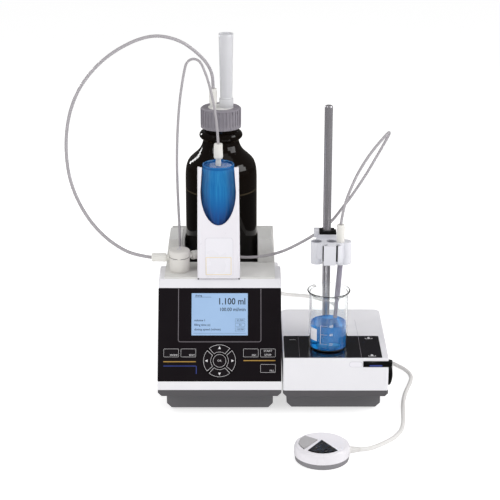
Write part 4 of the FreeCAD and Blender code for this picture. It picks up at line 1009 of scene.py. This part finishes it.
floor_mesh = bpy.data.meshes.new("floor")
floor_mesh.from_pydata([(-9, -9, 0), (9, -9, 0), (9, 9, 0), (-9, 9, 0)], [], [(0, 1, 2, 3)])
floor = link("floor", floor_mesh)
# bright for the camera and through glass, dark in reflections
paper = Finish("floor_white", (0.7, 0.7, 0.7), 0.9, Specular_IOR_Level=0.0)
paper.shader.inputs["Emission Color"].default_value = (1, 1, 1, 1)
rays = paper.nodes.new("ShaderNodeLightPath").outputs
through = paper.mix(rays["Is Transmission Ray"], (0, 0, 0), (1, 1, 1))
glimpse = paper.mix(rays["Is Glossy Ray"], (0, 0, 0), (1, 1, 1))
glimpse = paper.mix(through, glimpse, (0, 0, 0))
tone = paper.mix(paper.spread(paper.noise(300), 0, 1), (0.7, 0.7, 0.7), (0.71, 0.71, 0.71))
paper.paint(paper.mix(glimpse, tone, (0.04, 0.04, 0.04)))
paper.links.new(paper.spread(glimpse, 0.62, 0.02, 0, 1), paper.shader.inputs["Emission Strength"])
floor_mesh.materials.append(paper.done())
floor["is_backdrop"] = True


def softbox(name, place, aim, wide, tall, power):
    """A rectangular light at a place, turned towards its aim; metres and watts."""
    data = bpy.data.lights.new(name, "AREA")
    data.shape = "RECTANGLE"
    data.size, data.size_y = wide, tall
    data.energy = power
    obj = link(name, data)
    obj.location = place
    obj.rotation_euler = (Vector(aim) - Vector(place)).to_track_quat("-Z", "Y").to_euler()


softbox("light_left", (-1.0, -0.75, 0.95), (0, 0.1, 0.2), 0.22, 0.9, 4)
softbox("light_left_back", (-0.93, 1.03, 0.7), (-0.1, 0.15, 0.26), 0.16, 0.6, 3.5)
softbox("light_right", (0.93, -0.6, 0.8), (-0.05, 0.14, 0.28), 0.5, 0.6, 3)
softbox("light_right_back", (1.1, -0.06, 0.85), (-0.04, 0.13, 0.26), 0.6, 0.7, 5)
softbox("light_top", (0.0, -0.1, 1.7), (0, 0, 0), 1.4, 1.4, 3)

# an even bright room, dim in reflections, so dark gloss stays dark
world = bpy.data.worlds.new("studio")
world.use_nodes = True
SCENE.world = world
nodes, links = world.node_tree.nodes, world.node_tree.links
room = nodes["Background"]
room.inputs["Color"].default_value = (1, 1, 1, 1)
ray = nodes.new("ShaderNodeLightPath")
value = None
for kind, strength in (("Is Glossy Ray", 0.09), ("Is Transmission Ray", 1.0),
                       ("Is Camera Ray", 1.0)):
    level = nodes.new("ShaderNodeMapRange")
    level.inputs["To Min"].default_value = 0.5
    level.inputs["To Max"].default_value = strength
    if value:
        links.new(value, level.inputs["To Min"])
    links.new(ray.outputs[kind], level.inputs["Value"])
    value = level.outputs["Result"]
links.new(value, room.inputs["Strength"])
SCENE.view_settings.view_transform = "Standard"

low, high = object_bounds()
